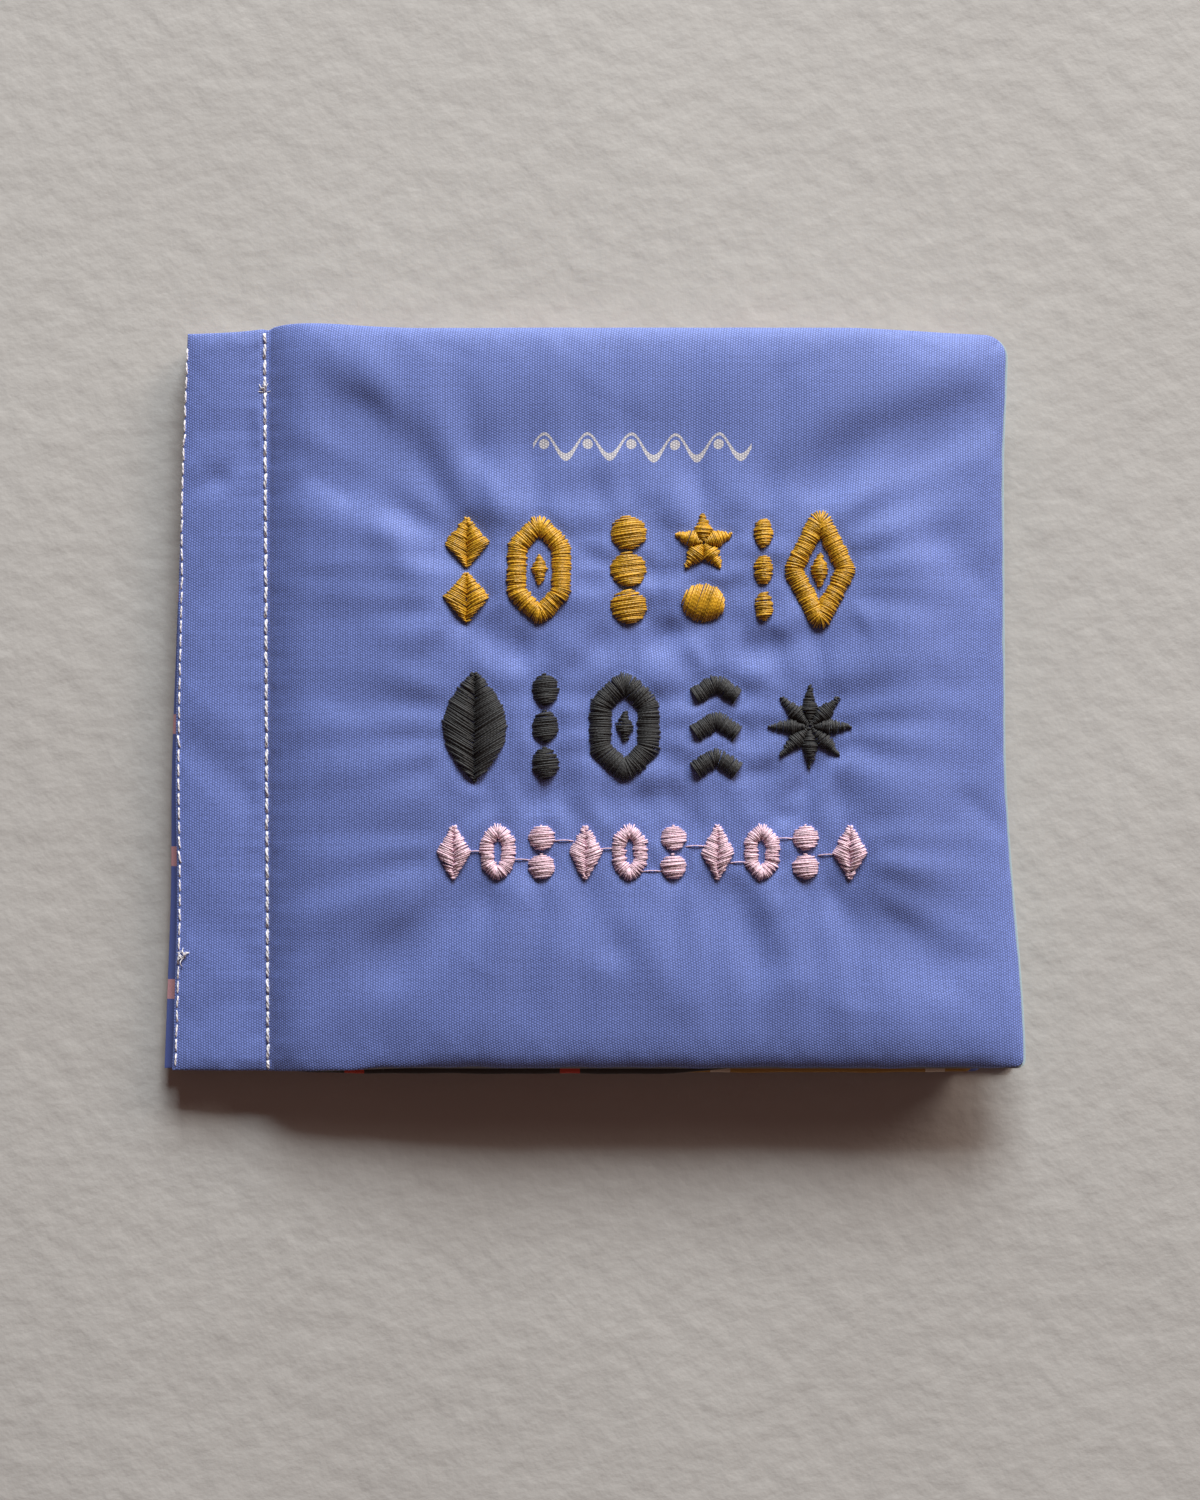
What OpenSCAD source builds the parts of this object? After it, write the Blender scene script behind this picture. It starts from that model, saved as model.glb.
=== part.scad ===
// Soft cloth crinkle book: two stuffed cloth covers and a block of cloth leaves, bound by one line
// of stitches beside the spine edge. The book lies closed on its back cover.
// X runs from the spine edge to the fore-edge, Y from the bottom edge to the top edge, Z is up.
// The origin is on the table under the middle of the book.

/* [Book] */
// Width across the two bottom corners
book_w = 159.4; // [130:0.2:200]
// Height from the bottom edge to the top edge
book_h = 138.2; // [110:0.2:180]
// How far the spine edge leans in from the bottom corner to the top corner
spine_lean = 4.4; // [0:0.1:8]
// How far the fore-edge is drawn in above its flared bottom corner
fore_draw = 4.3; // [0:0.1:8]
// Height over which the bottom corner flares
flare_h = 50; // [20:1:80]
// How far the fore-edge swings out again at the top corner
fore_swing = 1.2; // [0:0.1:4]
// Radius of the top corner at the fore-edge
corner_r_top = 4.6; // [2:0.1:12]
// Radius of the bottom corner at the fore-edge
corner_r_bottom = 1.6; // [1:0.1:12]

/* [Leaves] */
// Number of cloth leaves between the covers
page_leaves = 4; // [2:1:6]
// Height that one leaf takes at the binding seam
seam_pitch = 1.15; // [1:0.05:1.6]
// Height that one leaf takes away from the seam
leaf_pitch = 2.1; // [1.8:0.05:3]
// Air between one leaf and the next
leaf_gap = 0.4; // [0.3:0.05:0.6]
// Distance over which the leaves swell from the seam to their full height
swell_w = 34; // [30:1:50]
// Height that each leaf regains at the spine edge
spine_rise = 0.15; // [0:0.01:0.2]
// How far the leaves' fore-edges stay inside the covers
page_inset = 2.2; // [0.5:0.1:4]
// The same at their other edges, as a share of that
edge_share = 0.3; // [0.1:0.05:1]

/* [Covers] */
// Full thickness of the stuffed front cover
cover_loft = 3; // [2.4:0.1:5]
// How far the front cover's free bottom corner lifts
corner_lift = 2; // [0:0.1:5]
// Reach of the lifted corner
lift_reach = 46; // [20:1:80]
// How far the front cover's bottom edge is drawn in, so that the leaves show
foot_draw = 1.2; // [0:0.1:3]
// How far the front margin's spine edge is drawn in at the bottom
margin_draw = 1.5; // [0:0.1:3]
// Thickness of one layer of cloth
cloth_t = 0.35; // [0.25:0.05:0.4]
// Thickness of one layer of cloth where it is pinched into an edge
rim_t = 0.18; // [0.1:0.01:0.24]
// Width over which an edge rolls over
roll_w = 3.5; // [2:0.1:6]
// Clearance between two cloths that lie on each other
cloth_clear = 0.04; // [0.02:0.01:0.08]

/* [Crinkle film] */
// Thickness of the crinkle film
film_t = 0.1; // [0.05:0.01:0.15]
// Distance from the film to the covers' outer edges
film_inset = 6; // [5:0.5:15]
// Distance from the film to the hinge
film_from_hinge = 14; // [12:0.5:25]

/* [Seams] */
// Distance from the bottom spine corner to the binding seam, halfway up
seam_inset = 18.9; // [16:0.1:24]
// How far the binding seam leans towards the spine edge at the top
seam_lean = 1.3; // [0:0.1:1.6]
// Cloth kept beyond the seam on the hinge side
seam_edge = 0.55; // [0.4:0.05:1]
// Gap between the margins and the covers that open
hinge_gap = 0.4; // [0.3:0.05:0.8]
// Length of one stitch with its hole
stitch_pitch = 3.05; // [2:0.05:4]
// Radius of the binding thread
thread_r = 0.3; // [0.2:0.02:0.34]
// Depth of the groove that the thread pulls into the cloth
groove_d = 0.35; // [0.3:0.01:0.4]
// Distance from the seam's ends to the book's top and bottom edges
seam_end = 1.6; // [1:0.1:4]

/* [Embroidery] */
// Distance from the middle of the front cover to the middle of the embroidery
art_shift = 3; // [-6:0.5:6]
// Width of the embroidered rows, as a share of the front cover's
art_share = 0.57; // [0.4:0.01:0.65]
// Height of the gold row above the middle of the cover
gold_y = 23.7; // [20:0.1:28]
// Height of the charcoal row above the middle of the cover
charcoal_y = -5.3; // [-8:0.1:0]
// Height of the pink row above the middle of the cover
pink_y = -28.4; // [-34:0.1:-26]
// Height of the motifs in the two tall rows
tall_h = 20.4; // [14:0.2:22]
// Height of the motifs in the small row
small_h = 10.6; // [6:0.2:12]
// Width of the gold satin stitches
gold_stroke = 3.2; // [2:0.1:3.6]
// Width of the charcoal satin stitches
charcoal_stroke = 3.8; // [2:0.1:4]
// Width of the pink satin stitches
pink_stroke = 2.2; // [1.4:0.1:2.4]
// How far the satin stitches stand above the cloth
satin_rise = 0.8; // [0.5:0.05:1.2]
// How far the satin stitches are sewn into the cloth
satin_sink = 0.25; // [0.1:0.05:0.3]

/* [Hidden] */

spine_x = -book_w / 2;
seam_x = spine_x + seam_inset;
margin_end = seam_x + seam_lean / 2 + seam_edge;
flap_x = margin_end + hinge_gap;
fore_x = book_w / 2 - fore_draw;
flap_mid = (flap_x + fore_x) / 2;
front_leaf = page_leaves + 1;
far = 0.001;

// Grid lines: how many even steps each kind of sheet has over the swelling beside the hinge, from there
// to the rolled fore-edge, and between the rolled edges at the bottom and the top
cover_steps = [8, 18, 20];
plain_steps = [4, 3, 4];
film_steps = [8, 4];
// Lines of a rolled edge, as shares of its width: many on the front cover, few elsewhere
fine_roll = [1, 0.45, 0.14, 0];
plain_roll = [1, 0.3, 0];

// Smooth step from 0 to 1
function ease(t) = let(c = max(0, min(1, t))) c * c * (3 - 2 * c);

// Height of a rolled edge, from 0 at the edge to 1 inside it
function roll(d) = d >= roll_w ? 1 : sqrt(1 - pow(1 - max(0, d) / roll_w, 2));

// Edge lines of the book, by the distance up from the bottom edge
function spine_edge_x(t) = spine_x + spine_lean * t / book_h;
function fore_edge_x(t, flare = 1) = fore_x + flare * fore_draw * (1 - ease(t / flare_h))
    + fore_swing * ease((t / book_h - 0.8) * 5);
function seam_line_x(t) = seam_x + seam_lean * (0.5 - t / book_h);

// Height that one leaf takes at x, and the full thickness of the front cover there
function pitch(x) = x > margin_end
    ? seam_pitch + (leaf_pitch - seam_pitch) * ease((x - flap_x) / swell_w)
    : seam_pitch + spine_rise * ease((seam_x - 3 - x) / 12);
function loft(x) = seam_pitch + (cover_loft - seam_pitch) * ease((x - flap_x) / swell_w);
function lift(x, y) = corner_lift
    * pow(ease(1 - norm([x - book_w / 2, y + book_h / 2]) / lift_reach), 1.5);

// Folds of the front cover: where each starts and ends as shares of the cover's width and height,
// then its half width and its height, both in millimetres. Valleys have a height below zero.
FOLDS = [
    [0.03, 0.93, 0.12, 0.87, 5.5, -0.7], [0.12, 0.87, 0.25, 0.72, 6, -0.85],
    [0.06, 0.99, 0.30, 0.79, 6, 0.55], [0.02, 0.84, 0.11, 0.80, 3.5, -0.5],
    [0.09, 0.71, 0.20, 0.60, 9, 0.45], [0.30, 0.84, 0.43, 0.77, 4.5, -0.4],
    [0.73, 0.78, 0.98, 0.885, 5.5, -0.9], [0.70, 0.84, 0.94, 0.95, 6, 0.5],
    [0.76, 0.74, 0.98, 0.82, 6, 0.45], [0.92, 0.705, 1.0, 0.65, 4.5, -0.55],
    [0.27, 0.235, 0.16, 0.155, 5.5, -0.85], [0.16, 0.155, 0.04, 0.10, 6, -0.6],
    [0.16, 0.24, 0.03, 0.19, 7, 0.45], [0.62, 0.23, 0.68, 0.15, 5, -0.6],
    [0.78, 0.235, 0.91, 0.14, 5.5, -0.8], [0.34, 0.17, 0.55, 0.15, 9, 0.4],
    [0.70, 0.12, 0.84, 0.07, 7, 0.35], [0.30, 0.575, 0.80, 0.575, 4, -0.25],
    [0.30, 0.365, 0.80, 0.365, 4, -0.25], [0.05, 0.45, 0.17, 0.38, 8, 0.35]
];

// Distance from point p to the line from a to b
function reach(p, a, b) = let(d = b - a, t = max(0, min(1, (p - a) * d / max(d * d, far))))
    norm(p - a - d * t);
function on_cover(fx, fy) = [flap_x + fx * (fore_x - flap_x), (fy - 0.5) * book_h];
function fold(x, y) = ease((x - flap_x - 2) / 16) * add([for (f = FOLDS)
    f[5] * exp(-pow(reach([x, y], on_cover(f[0], f[1]), on_cover(f[2], f[3])) / f[4], 2))]);
function add(v, i = 0) = i < len(v) ? v[i] + add(v, i + 1) : 0;

// Outer face of the front cover, where its edges don't roll
function cover_top(x, y) = front_leaf * pitch(x) + loft(x) + lift(x, y) + fold(x, y);

// Distances from the hinge: even steps over the swelling, even steps to the rolled fore-edge, its lines
function flap_lines(steps, lines) = let(len = fore_x - flap_x, flat_w = len - roll_w - swell_w) concat(
    [for (i = [0 : steps[0] - 1]) i * swell_w / steps[0]],
    [for (i = [0 : steps[1] - 1]) swell_w + i * flat_w / steps[1]],
    [for (r = lines) len - roll_w * r]);
// Distances up from the bottom edge: a rolled edge at both ends and even steps between them
function two_rolls(len, n, lines) = concat([for (i = [len(lines) - 1 : -1 : 0]) roll_w * lines[i]],
    [for (i = [1 : n - 1]) roll_w + i * (len - 2 * roll_w) / n], [for (r = lines) len - roll_w * r]);

// Height above or below the middle of a sheet whose bottom and top edges are drawn in by foot and head
function drawn_y(t, foot, head) = let(side = t < book_h / 2 ? -1 : 1, half = book_h / 2)
    side * (half - (side < 0 ? foot : head)) * (1 - min(t, book_h - t) / half);

// A point of a cover or leaf: s is its distance from the hinge, stretched to reach the fore-edge, and t
// its distance up. It gives x, y and the share of the full height that the rolled edges leave.
function flap_point(s, t, inset = 0, foot = 0, head = 0, flare = 1) = let(
        edge = fore_edge_x(t, flare) - inset,
        width = fore_x - flap_x,
        x = flap_x + s * (edge - flap_x) / width,
        side = t < book_h / 2 ? -1 : 1,
        near = min(t, book_h - t),
        r = side < 0 ? corner_r_bottom : corner_r_top,
        in_corner = edge - x < r && near < r,
        c = in_corner ? [1 - (edge - x) / r, 1 - near / r] : [0, 0],
        k = norm(c) > far ? max(c.x, c.y) / norm(c) : 1,
        half = book_h / 2 - (side < 0 ? foot : head))
    in_corner
        ? [edge - r + c.x * k * r, side * (half - r + c.y * k * r), roll(width - s) * roll(near)]
        : [x, drawn_y(t, foot, head), roll(width - s) * roll(near)];
function flap_grid(steps, lines, foot = 0) = [for (s = flap_lines(steps, lines))
    [for (t = two_rolls(book_h, steps[2], lines)) flap_point(s, t, foot = foot * ease(s / swell_w))]];

// Lines of the margin: three on the rolled spine edge, one inside it, three on the groove, the end.
// draw is how far the spine edge is drawn in at the bottom.
function margin_edge_x(t, draw) = spine_edge_x(t) + draw * (1 - ease(t / (0.8 * book_h)));
function margin_xs(t, draw = 0) = let(x0 = margin_edge_x(t, draw)) concat(
    [for (i = [2 : -1 : 0]) x0 + roll_w * plain_roll[i]],
    [x0 + 2 * roll_w, seam_line_x(t) - 3, seam_line_x(t) - 1, seam_line_x(t), margin_end]);
function margin_grid(draw = 0) = [for (i = [0 : 7]) [for (t = two_rolls(book_h, plain_steps[2], plain_roll))
    let(x = margin_xs(t, draw)[i])
    [x, t - book_h / 2, roll(x - margin_edge_x(t, draw)) * roll(min(t, book_h - t))]]];
function groove(p) = groove_d * exp(-pow((p.x - seam_line_x(p.y + book_h / 2)) / 0.9, 2));

// Solid between two faces over a grid of points. low and high give a point's lowest and highest z.
module slab(grid, low, high) {
    nu = len(grid);
    nv = len(grid[0]);
    flat = [for (row = grid) for (p = row) p];
    n = len(flat);
    loop = concat([for (i = [0 : nu - 2]) i * nv], [for (j = [0 : nv - 2]) (nu - 1) * nv + j],
        [for (i = [nu - 1 : -1 : 1]) i * nv + nv - 1], [for (j = [nv - 1 : -1 : 1]) j]);
    polyhedron(
        points = concat([for (p = flat) [p.x, p.y, low(p)]], [for (p = flat) [p.x, p.y, high(p)]]),
        faces = [for (i = [0 : nu - 2]) for (j = [0 : nv - 2])
            let(a = i * nv + j, b = a + 1, c = a + nv + 1, d = a + nv)
            for (f = [[a + n, b + n, c + n], [a + n, c + n, d + n], [a, c, b], [a, d, c]]) f,
            for (q = [0 : len(loop) - 1])
            let(a = loop[q], b = loop[(q + 1) % len(loop)])
            for (f = [[a, a + n, b + n], [a, b + n, b]]) f]);
}

// Heights of the two cloths of a stuffed leaf: z0 and z1 are its lowest and highest face inside its
// edges, and mid is the height at which its edges are sewn
function outer_up(p, z1, mid) = mid + cloth_clear + rim_t + (z1 - mid - cloth_clear - rim_t) * p.z;
function inner_up(p, z1, mid) = max(mid + cloth_clear, outer_up(p, z1, mid) - cloth_t);
function outer_down(p, z0, mid) = mid - cloth_clear - rim_t - (mid - cloth_clear - rim_t - z0) * p.z;
function inner_down(p, z0, mid) = min(mid - cloth_clear, outer_down(p, z0, mid) + cloth_t);

function front_low(p) = front_leaf * pitch(p.x) + lift(p.x, p.y);
function front_seam(p) = front_low(p) + 0.4 * loft(p.x);
function back_high(p) = pitch(p.x) - leaf_gap;
function back_seam(p) = back_high(p) / 2;

module front_cover() {
    color("#7d8bc6") slab(flap_grid(cover_steps, fine_roll, foot_draw),
        function (p) inner_up(p, cover_top(p.x, p.y), front_seam(p)),
        function (p) outer_up(p, cover_top(p.x, p.y), front_seam(p)));
}

module front_lining() {
    color("#b4cbd2") slab(flap_grid(plain_steps, plain_roll, foot_draw),
        function (p) outer_down(p, front_low(p), front_seam(p)),
        function (p) inner_down(p, front_low(p), front_seam(p)));
}

// Film grid: flat points kept inside the covers' edges
function film_grid() = [for (i = [0 : film_steps.x]) [for (j = [0 : film_steps.y])
    let(x0 = flap_x + film_from_hinge, x1 = fore_x - film_inset, h = book_h - 2 * film_inset)
    [x0 + i * (x1 - x0) / film_steps.x, h * (j / film_steps.y - 0.5), 1]]];

module front_film() {
    color("#e6e6ea", 0.6) slab(film_grid(),
        function (p) front_low(p) + cloth_t + leaf_gap,
        function (p) front_low(p) + cloth_t + leaf_gap + film_t);
}

// The outer cloth of the back cover is pressed flat where the book lies on it
module back_cover() {
    press = 0.15;
    color("#7684c0") intersection() {
        slab(flap_grid(plain_steps, plain_roll),
            function (p) outer_down(p, -press, back_seam(p)),
            function (p) min(back_seam(p) - cloth_clear,
                max(0, outer_down(p, -press, back_seam(p))) + cloth_t));
        translate([flap_x - 1, -book_h, 0]) cube([2 * book_w, 2 * book_h, leaf_pitch]);
    }
}

module back_lining() {
    color("#b4cbd2") slab(flap_grid(plain_steps, plain_roll),
        function (p) inner_up(p, back_high(p), back_seam(p)),
        function (p) outer_up(p, back_high(p), back_seam(p)));
}

module back_film() {
    color("#e6e6ea", 0.6) slab(film_grid(),
        function (p) (back_high(p) - film_t) / 2,
        function (p) (back_high(p) + film_t) / 2);
}

// The covers' cloths between the spine edge and the hinge. leaf is the leaf's place in the stack.
function margin_mid(p, leaf) = (leaf + 0.5) * pitch(p.x);
function margin_cloth_low(p, leaf) = margin_mid(p, leaf) - cloth_clear - rim_t
    - (pitch(p.x) / 2 - 2 * cloth_clear - rim_t) * p.z;
function margin_cloth_high(p, leaf) = margin_mid(p, leaf) + cloth_clear + rim_t
    + (pitch(p.x) / 2 - 2 * cloth_clear - rim_t) * p.z;

module front_margin() {
    color("#6e7ab6") slab(margin_grid(margin_draw),
        function (p) margin_mid(p, front_leaf) + cloth_clear,
        function (p) margin_cloth_high(p, front_leaf) - groove(p) * p.z);
}

module front_lining_margin() {
    color("#b4cbd2") slab(margin_grid(margin_draw),
        function (p) margin_cloth_low(p, front_leaf),
        function (p) margin_mid(p, front_leaf) - cloth_clear);
}

module back_margin() {
    color("#6e7ab6") slab(margin_grid(),
        function (p) margin_cloth_low(p, 0) + (groove(p) - cloth_clear) * p.z,
        function (p) margin_mid(p, 0) - cloth_clear);
}

module back_lining_margin() {
    color("#b4cbd2") slab(margin_grid(),
        function (p) margin_mid(p, 0) + cloth_clear,
        function (p) margin_cloth_high(p, 0));
}

// Faces of the cloth leaves. leaf counts from 1, and e is the share of the height left at an edge.
function page_mid(leaf, x) = (leaf + 0.5) * pitch(x) - page_gap(x) / 2;
function page_half(leaf, x, e) = rim_t + ((pitch(x) - page_gap(x)) / 2 - rim_t) * e;
function page_gap(x) = x > seam_x ? leaf_gap : 2 * cloth_clear + leaf_gap * ease((seam_x - 3 - x) / 12);
function page_face(leaf, p, side) = [p.x, p.y, page_mid(leaf, p.x) + side * page_half(leaf, p.x, p.z)];
function leaf_inset(leaf) = page_inset * (1 + 0.6 * sin(140 * leaf));
function leaf_head(leaf) = edge_share * leaf_inset(leaf);
function leaf_foot(leaf) = leaf_head(leaf) / 3;

// One line of points round the leaves at the height t: out and back along each leaf on the fore-edge
// side from the lowest leaf up, then the same on the spine side from the top leaf down
function free_point(leaf, s, t) =
    flap_point(s, t, leaf_inset(leaf), leaf_foot(leaf), leaf_head(leaf), 0);
function bound_point(leaf, x, t) = let(from_edge = x - spine_edge_x(t))
    [x + leaf_foot(leaf) * max(0, 1 - from_edge / (2 * roll_w)),
        drawn_y(t, leaf_foot(leaf), leaf_head(leaf)), roll(from_edge) * roll(min(t, book_h - t))];
function page_ring(t) = let(
        out = concat([-hinge_gap], flap_lines(plain_steps, plain_roll)),
        xs = [for (i = [4 : -1 : 0]) margin_xs(t)[i]])
    concat(
        [for (leaf = [1 : page_leaves]) for (side = [-1, 1]) for (i = [0 : len(out) - 1])
            page_face(leaf, free_point(leaf, out[side < 0 ? i : len(out) - 1 - i], t), side)],
        [for (leaf = [page_leaves : -1 : 1]) for (side = [1, -1]) for (i = [0 : len(xs) - 1])
            if (!(side > 0 && i == 0 && leaf < page_leaves))
                page_face(leaf, bound_point(leaf, xs[side > 0 ? i : len(xs) - 1 - i], t), side)]);

// The leaves are one solid: loose towards the fore-edge and at the spine edge, joined at the seam
module pages() {
    nr = 1 + plain_steps[0] + plain_steps[1] + len(plain_roll);
    nl = 5;
    ts = two_rolls(book_h, plain_steps[2], plain_roll);
    m = len(page_ring(0));
    last = (len(ts) - 1) * m;
    // Place of a point in the line, for a leaf counted from 0
    function free_low(leaf, i) = leaf * 2 * nr + i;
    function free_high(leaf, i) = leaf * 2 * nr + 2 * nr - 1 - i;
    function block(leaf) = page_leaves * 2 * nr + (page_leaves - 1 - leaf) * (2 * nl - 1);
    function bound_low(leaf, i) = block(leaf) + 2 * nl - 1 - i;
    function bound_high(leaf, i) = block(leaf) + (leaf == page_leaves - 1 || i > 0 ? i : 0);
    quads = concat(
        [for (leaf = [0 : page_leaves - 1]) for (i = [0 : nr - 2])
            [free_low(leaf, i), free_high(leaf, i), free_high(leaf, i + 1), free_low(leaf, i + 1)]],
        [for (leaf = [0 : page_leaves - 1]) for (i = [0 : nl - 2])
            [bound_low(leaf, i + 1), bound_high(leaf, i + 1), bound_high(leaf, i), bound_low(leaf, i)]],
        [for (leaf = [0 : page_leaves - 1])
            [bound_low(leaf, 0), bound_high(leaf, 0), free_high(leaf, 0), free_low(leaf, 0)]]);
    webs = [for (leaf = [0 : page_leaves - 2])
        [free_high(leaf, 0), bound_high(leaf, 0), free_low(leaf + 1, 0)]];
    ends = concat(webs, [for (q = quads) for (f = [[q[0], q[1], q[2]], [q[0], q[2], q[3]]]) f]);
    color("#caa24e") polyhedron(
        points = [for (t = ts) for (p = page_ring(t)) p],
        faces = concat(ends, [for (f = ends) [f[2] + last, f[1] + last, f[0] + last]],
            [for (j = [0 : len(ts) - 2]) for (a = [0 : m - 1])
                let(b = (a + 1) % m, up = m)
                for (f = [[a, b, b + up], [a, b + up, a + up]]) [for (v = f) v + j * m]]));
}

// One thread of the lockstitch: it lies on the book at z_bar and dips to z_dip in each hole
module thread(z_bar, z_dip) {
    count = floor((book_h - 2 * seam_end) / stitch_pitch);
    bend = 0.4;
    start = (book_h - count * stitch_pitch) / 2;
    line = concat([for (i = [0 : count - 1]) let(t = start + i * stitch_pitch)
        for (p = [[t, z_dip], [t + bend, z_bar], [t + stitch_pitch - bend, z_bar]]) p],
        [[start + count * stitch_pitch, z_dip]]);
    n = len(line);
    polyhedron(
        points = [for (p = line) for (q = [0 : 3])
            [seam_line_x(p[0]) + thread_r * cos(90 * q), p[0] - book_h / 2, p[1] + thread_r * sin(90 * q)]],
        faces = concat([[0, 3, 2], [0, 2, 1]],
            [for (f = [[0, 1, 2], [0, 2, 3]]) [for (v = f) v + 4 * (n - 1)]],
            [for (i = [0 : n - 2]) for (q = [0 : 3])
                let(a = 4 * i + q, b = 4 * i + (q + 1) % 4)
                for (f = [[a, b, b + 4], [a, b + 4, a + 4]]) f]));
}

// The needle thread runs along the top and the bobbin thread along the bottom. They meet half-way.
module binding_seam() {
    z_top = (front_leaf + 1) * seam_pitch - cloth_clear - groove_d + 0.6 * thread_r;
    z_bottom = thread_r + cloth_clear;
    z_meet = (z_top + z_bottom) / 2;
    color("#e6e2e4") {
        thread(z_top, z_meet + thread_r + cloth_clear);
        thread(z_bottom, z_meet - thread_r - cloth_clear);
    }
}

// Outlines of the motifs, round their own middle
function disc(w, h, n = 10) = [for (i = [0 : n - 1]) [w / 2 * cos(360 * i / n), h / 2 * sin(360 * i / n)]];
function lozenge(w, h) = [for (i = [0 : 7]) let(a = 45 * i, c = cos(a), s = sin(a))
    [w / 2 * c, h / 2 * s] / (abs(c) + abs(s))];
function star(w, n) = [for (i = [0 : 2 * n - 1])
    let(r = i % 2 == 0 ? w / 2 : w / 4.2) [r * sin(180 * i / n) * -1, r * cos(180 * i / n)]];
function lens(w, h, n = 6) = concat(
    [for (i = [0 : n - 1]) let(u = 2 * i / n - 1) [w / 2 * (1 - u * u), h / 2 * u]],
    [for (i = [0 : n - 1]) let(u = 1 - 2 * i / n) [-w / 2 * (1 - u * u), h / 2 * u]]);
function tall_hexagon(w, h) = [[0, -h / 2], [w / 2, -h / 4], [w / 2, 0], [w / 2, h / 4],
    [0, h / 2], [-w / 2, h / 4], [-w / 2, 0], [-w / 2, -h / 4]];
function chevron(w, h) = [[-w / 2, -h / 2], [0, h / 2], [w / 2, -h / 2]];

// A point of a satin stitch field, at the height dz over the cloth
function on_cloth(p, dz) = [p.x, p.y, cover_top(p.x, p.y) + dz];

// Filled motif: a cushion of thread over an outline
module pad(c, outline) {
    n = len(outline);
    polyhedron(
        points = concat([for (p = outline) on_cloth(c + p, -satin_sink)],
            [for (p = outline) on_cloth(c + 0.97 * p, 0.45 * satin_rise)],
            [for (p = outline) on_cloth(c + 0.55 * p, 0.95 * satin_rise)],
            [on_cloth(c, satin_rise), on_cloth(c, -satin_sink)]),
        faces = [for (a = [0 : n - 1]) let(b = (a + 1) % n)
            for (f = [[a, a + n, b + n], [a, b + n, b], [a + n, a + 2 * n, b + 2 * n],
                [a + n, b + 2 * n, b + n], [a + 2 * n, 3 * n, b + 2 * n], [a, b, 3 * n + 1]]) f]);
}

// Line motif: a rounded ridge of thread along a path
function unit(v) = v / max(norm(v), far);
function left_of(v) = [-v.y, v.x];
function corner(a, b, c) = let(n = left_of(unit(b - a)), m = unit(n + left_of(unit(c - b))))
    m / max(m * n, 0.6);
module band(c, path, w, closed = true) {
    n = len(path);
    function at(i) = closed ? path[(i + n) % n] : path[i];
    function side(i) = closed || (i > 0 && i < n - 1) ? corner(at(i - 1), at(i), at(i + 1))
        : left_of(unit(i == 0 ? at(1) - at(0) : at(i) - at(i - 1)));
    shape = [[-0.5, -satin_sink], [-0.47, 0.5 * satin_rise], [0, satin_rise],
        [0.47, 0.5 * satin_rise], [0.5, -satin_sink]];
    polyhedron(
        points = [for (i = [0 : n - 1]) for (q = shape) on_cloth(c + at(i) + side(i) * w * q.x, q.y)],
        faces = concat(
            [for (i = [0 : n - (closed ? 1 : 2)]) for (q = [0 : 4])
                let(a = 5 * i, b = 5 * ((i + 1) % n), r = (q + 1) % 5)
                for (f = [[a + q, a + r, b + r], [a + q, b + r, b + q]]) f],
            closed ? [] : [for (q = [1 : 3])
                for (f = [[0, q + 1, q], [5 * n - 5, 5 * n - 5 + q, 5 * n - 4 + q]]) f]));
}

art_x = flap_mid + art_shift;
art_half = art_share * (fore_x - flap_x) / 2;

// Frame motif: a band along an outline of width w and height h over all, with a lozenge in its middle
module framed(c, w, h, stroke, outline) {
    band(c, outline(w - stroke, h - stroke), stroke);
    pad(c, lozenge(0.24 * w, 0.3 * h));
}

module gold_embroidery() {
    h = tall_h;
    function at(share, up = 0) = [art_x + share * art_half, gold_y + up * h];
    color("#c98f2c") {
        for (side = [-1, 1]) pad(at(-0.89, side / 4), lozenge(0.41 * h, 0.48 * h));
        framed(at(-0.54), 0.56 * h, h, gold_stroke, function (w, h) tall_hexagon(w, h));
        for (i = [-1 : 1]) pad(at(-0.11, i / 3), disc(0.32 * h, 0.3 * h));
        pad(at(0.25, 0.24), star(0.57 * h, 5));
        pad(at(0.25, -0.3), disc(0.39 * h, 0.34 * h));
        for (i = [-1 : 1]) pad(at(0.54, i / 3), disc(gold_stroke, 0.26 * h, 8));
        framed(at(0.81), 0.64 * h, 1.1 * h, gold_stroke, function (w, h) lozenge(w, h));
    }
}

module charcoal_embroidery() {
    h = tall_h;
    function at(share, up = 0) = [art_x + share * art_half, charcoal_y + up * h];
    color("#2c2b2d") {
        pad(at(-0.85), lens(0.57 * h, h));
        for (i = [-1 : 1]) pad(at(-0.51, i / 3), disc(0.23 * h, 0.28 * h, 8));
        framed(at(-0.13), 0.62 * h, h, charcoal_stroke, function (w, h) tall_hexagon(w, h));
        for (i = [-1 : 1])
            band(at(0.31, i / 3), chevron(0.39 * h, 0.13 * h), 0.8 * charcoal_stroke, false);
        pad(at(0.76), star(0.78 * h, 8));
    }
}

module pink_embroidery() {
    count = 10;
    w = 0.58 * small_h;
    h = small_h;
    color("#e0bccb") for (i = [0 : count - 1]) {
        c = [art_x + (2 * i / (count - 1) - 1) * 0.95 * art_half, pink_y];
        if (i % 3 == 0) pad(c, lozenge(w, h));
        if (i % 3 == 1) band(c, tall_hexagon(w - pink_stroke, h - pink_stroke), pink_stroke);
        if (i % 3 == 2) for (side = [-1, 1]) pad([c.x, c.y + side * h / 4], disc(0.75 * w, 0.42 * h, 8));
    }
}

pages();
front_cover();
front_lining();
front_film();
back_cover();
back_lining();
back_film();
front_margin();
front_lining_margin();
back_margin();
back_lining_margin();
binding_seam();
gold_embroidery();
charcoal_embroidery();
pink_embroidery();
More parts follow.
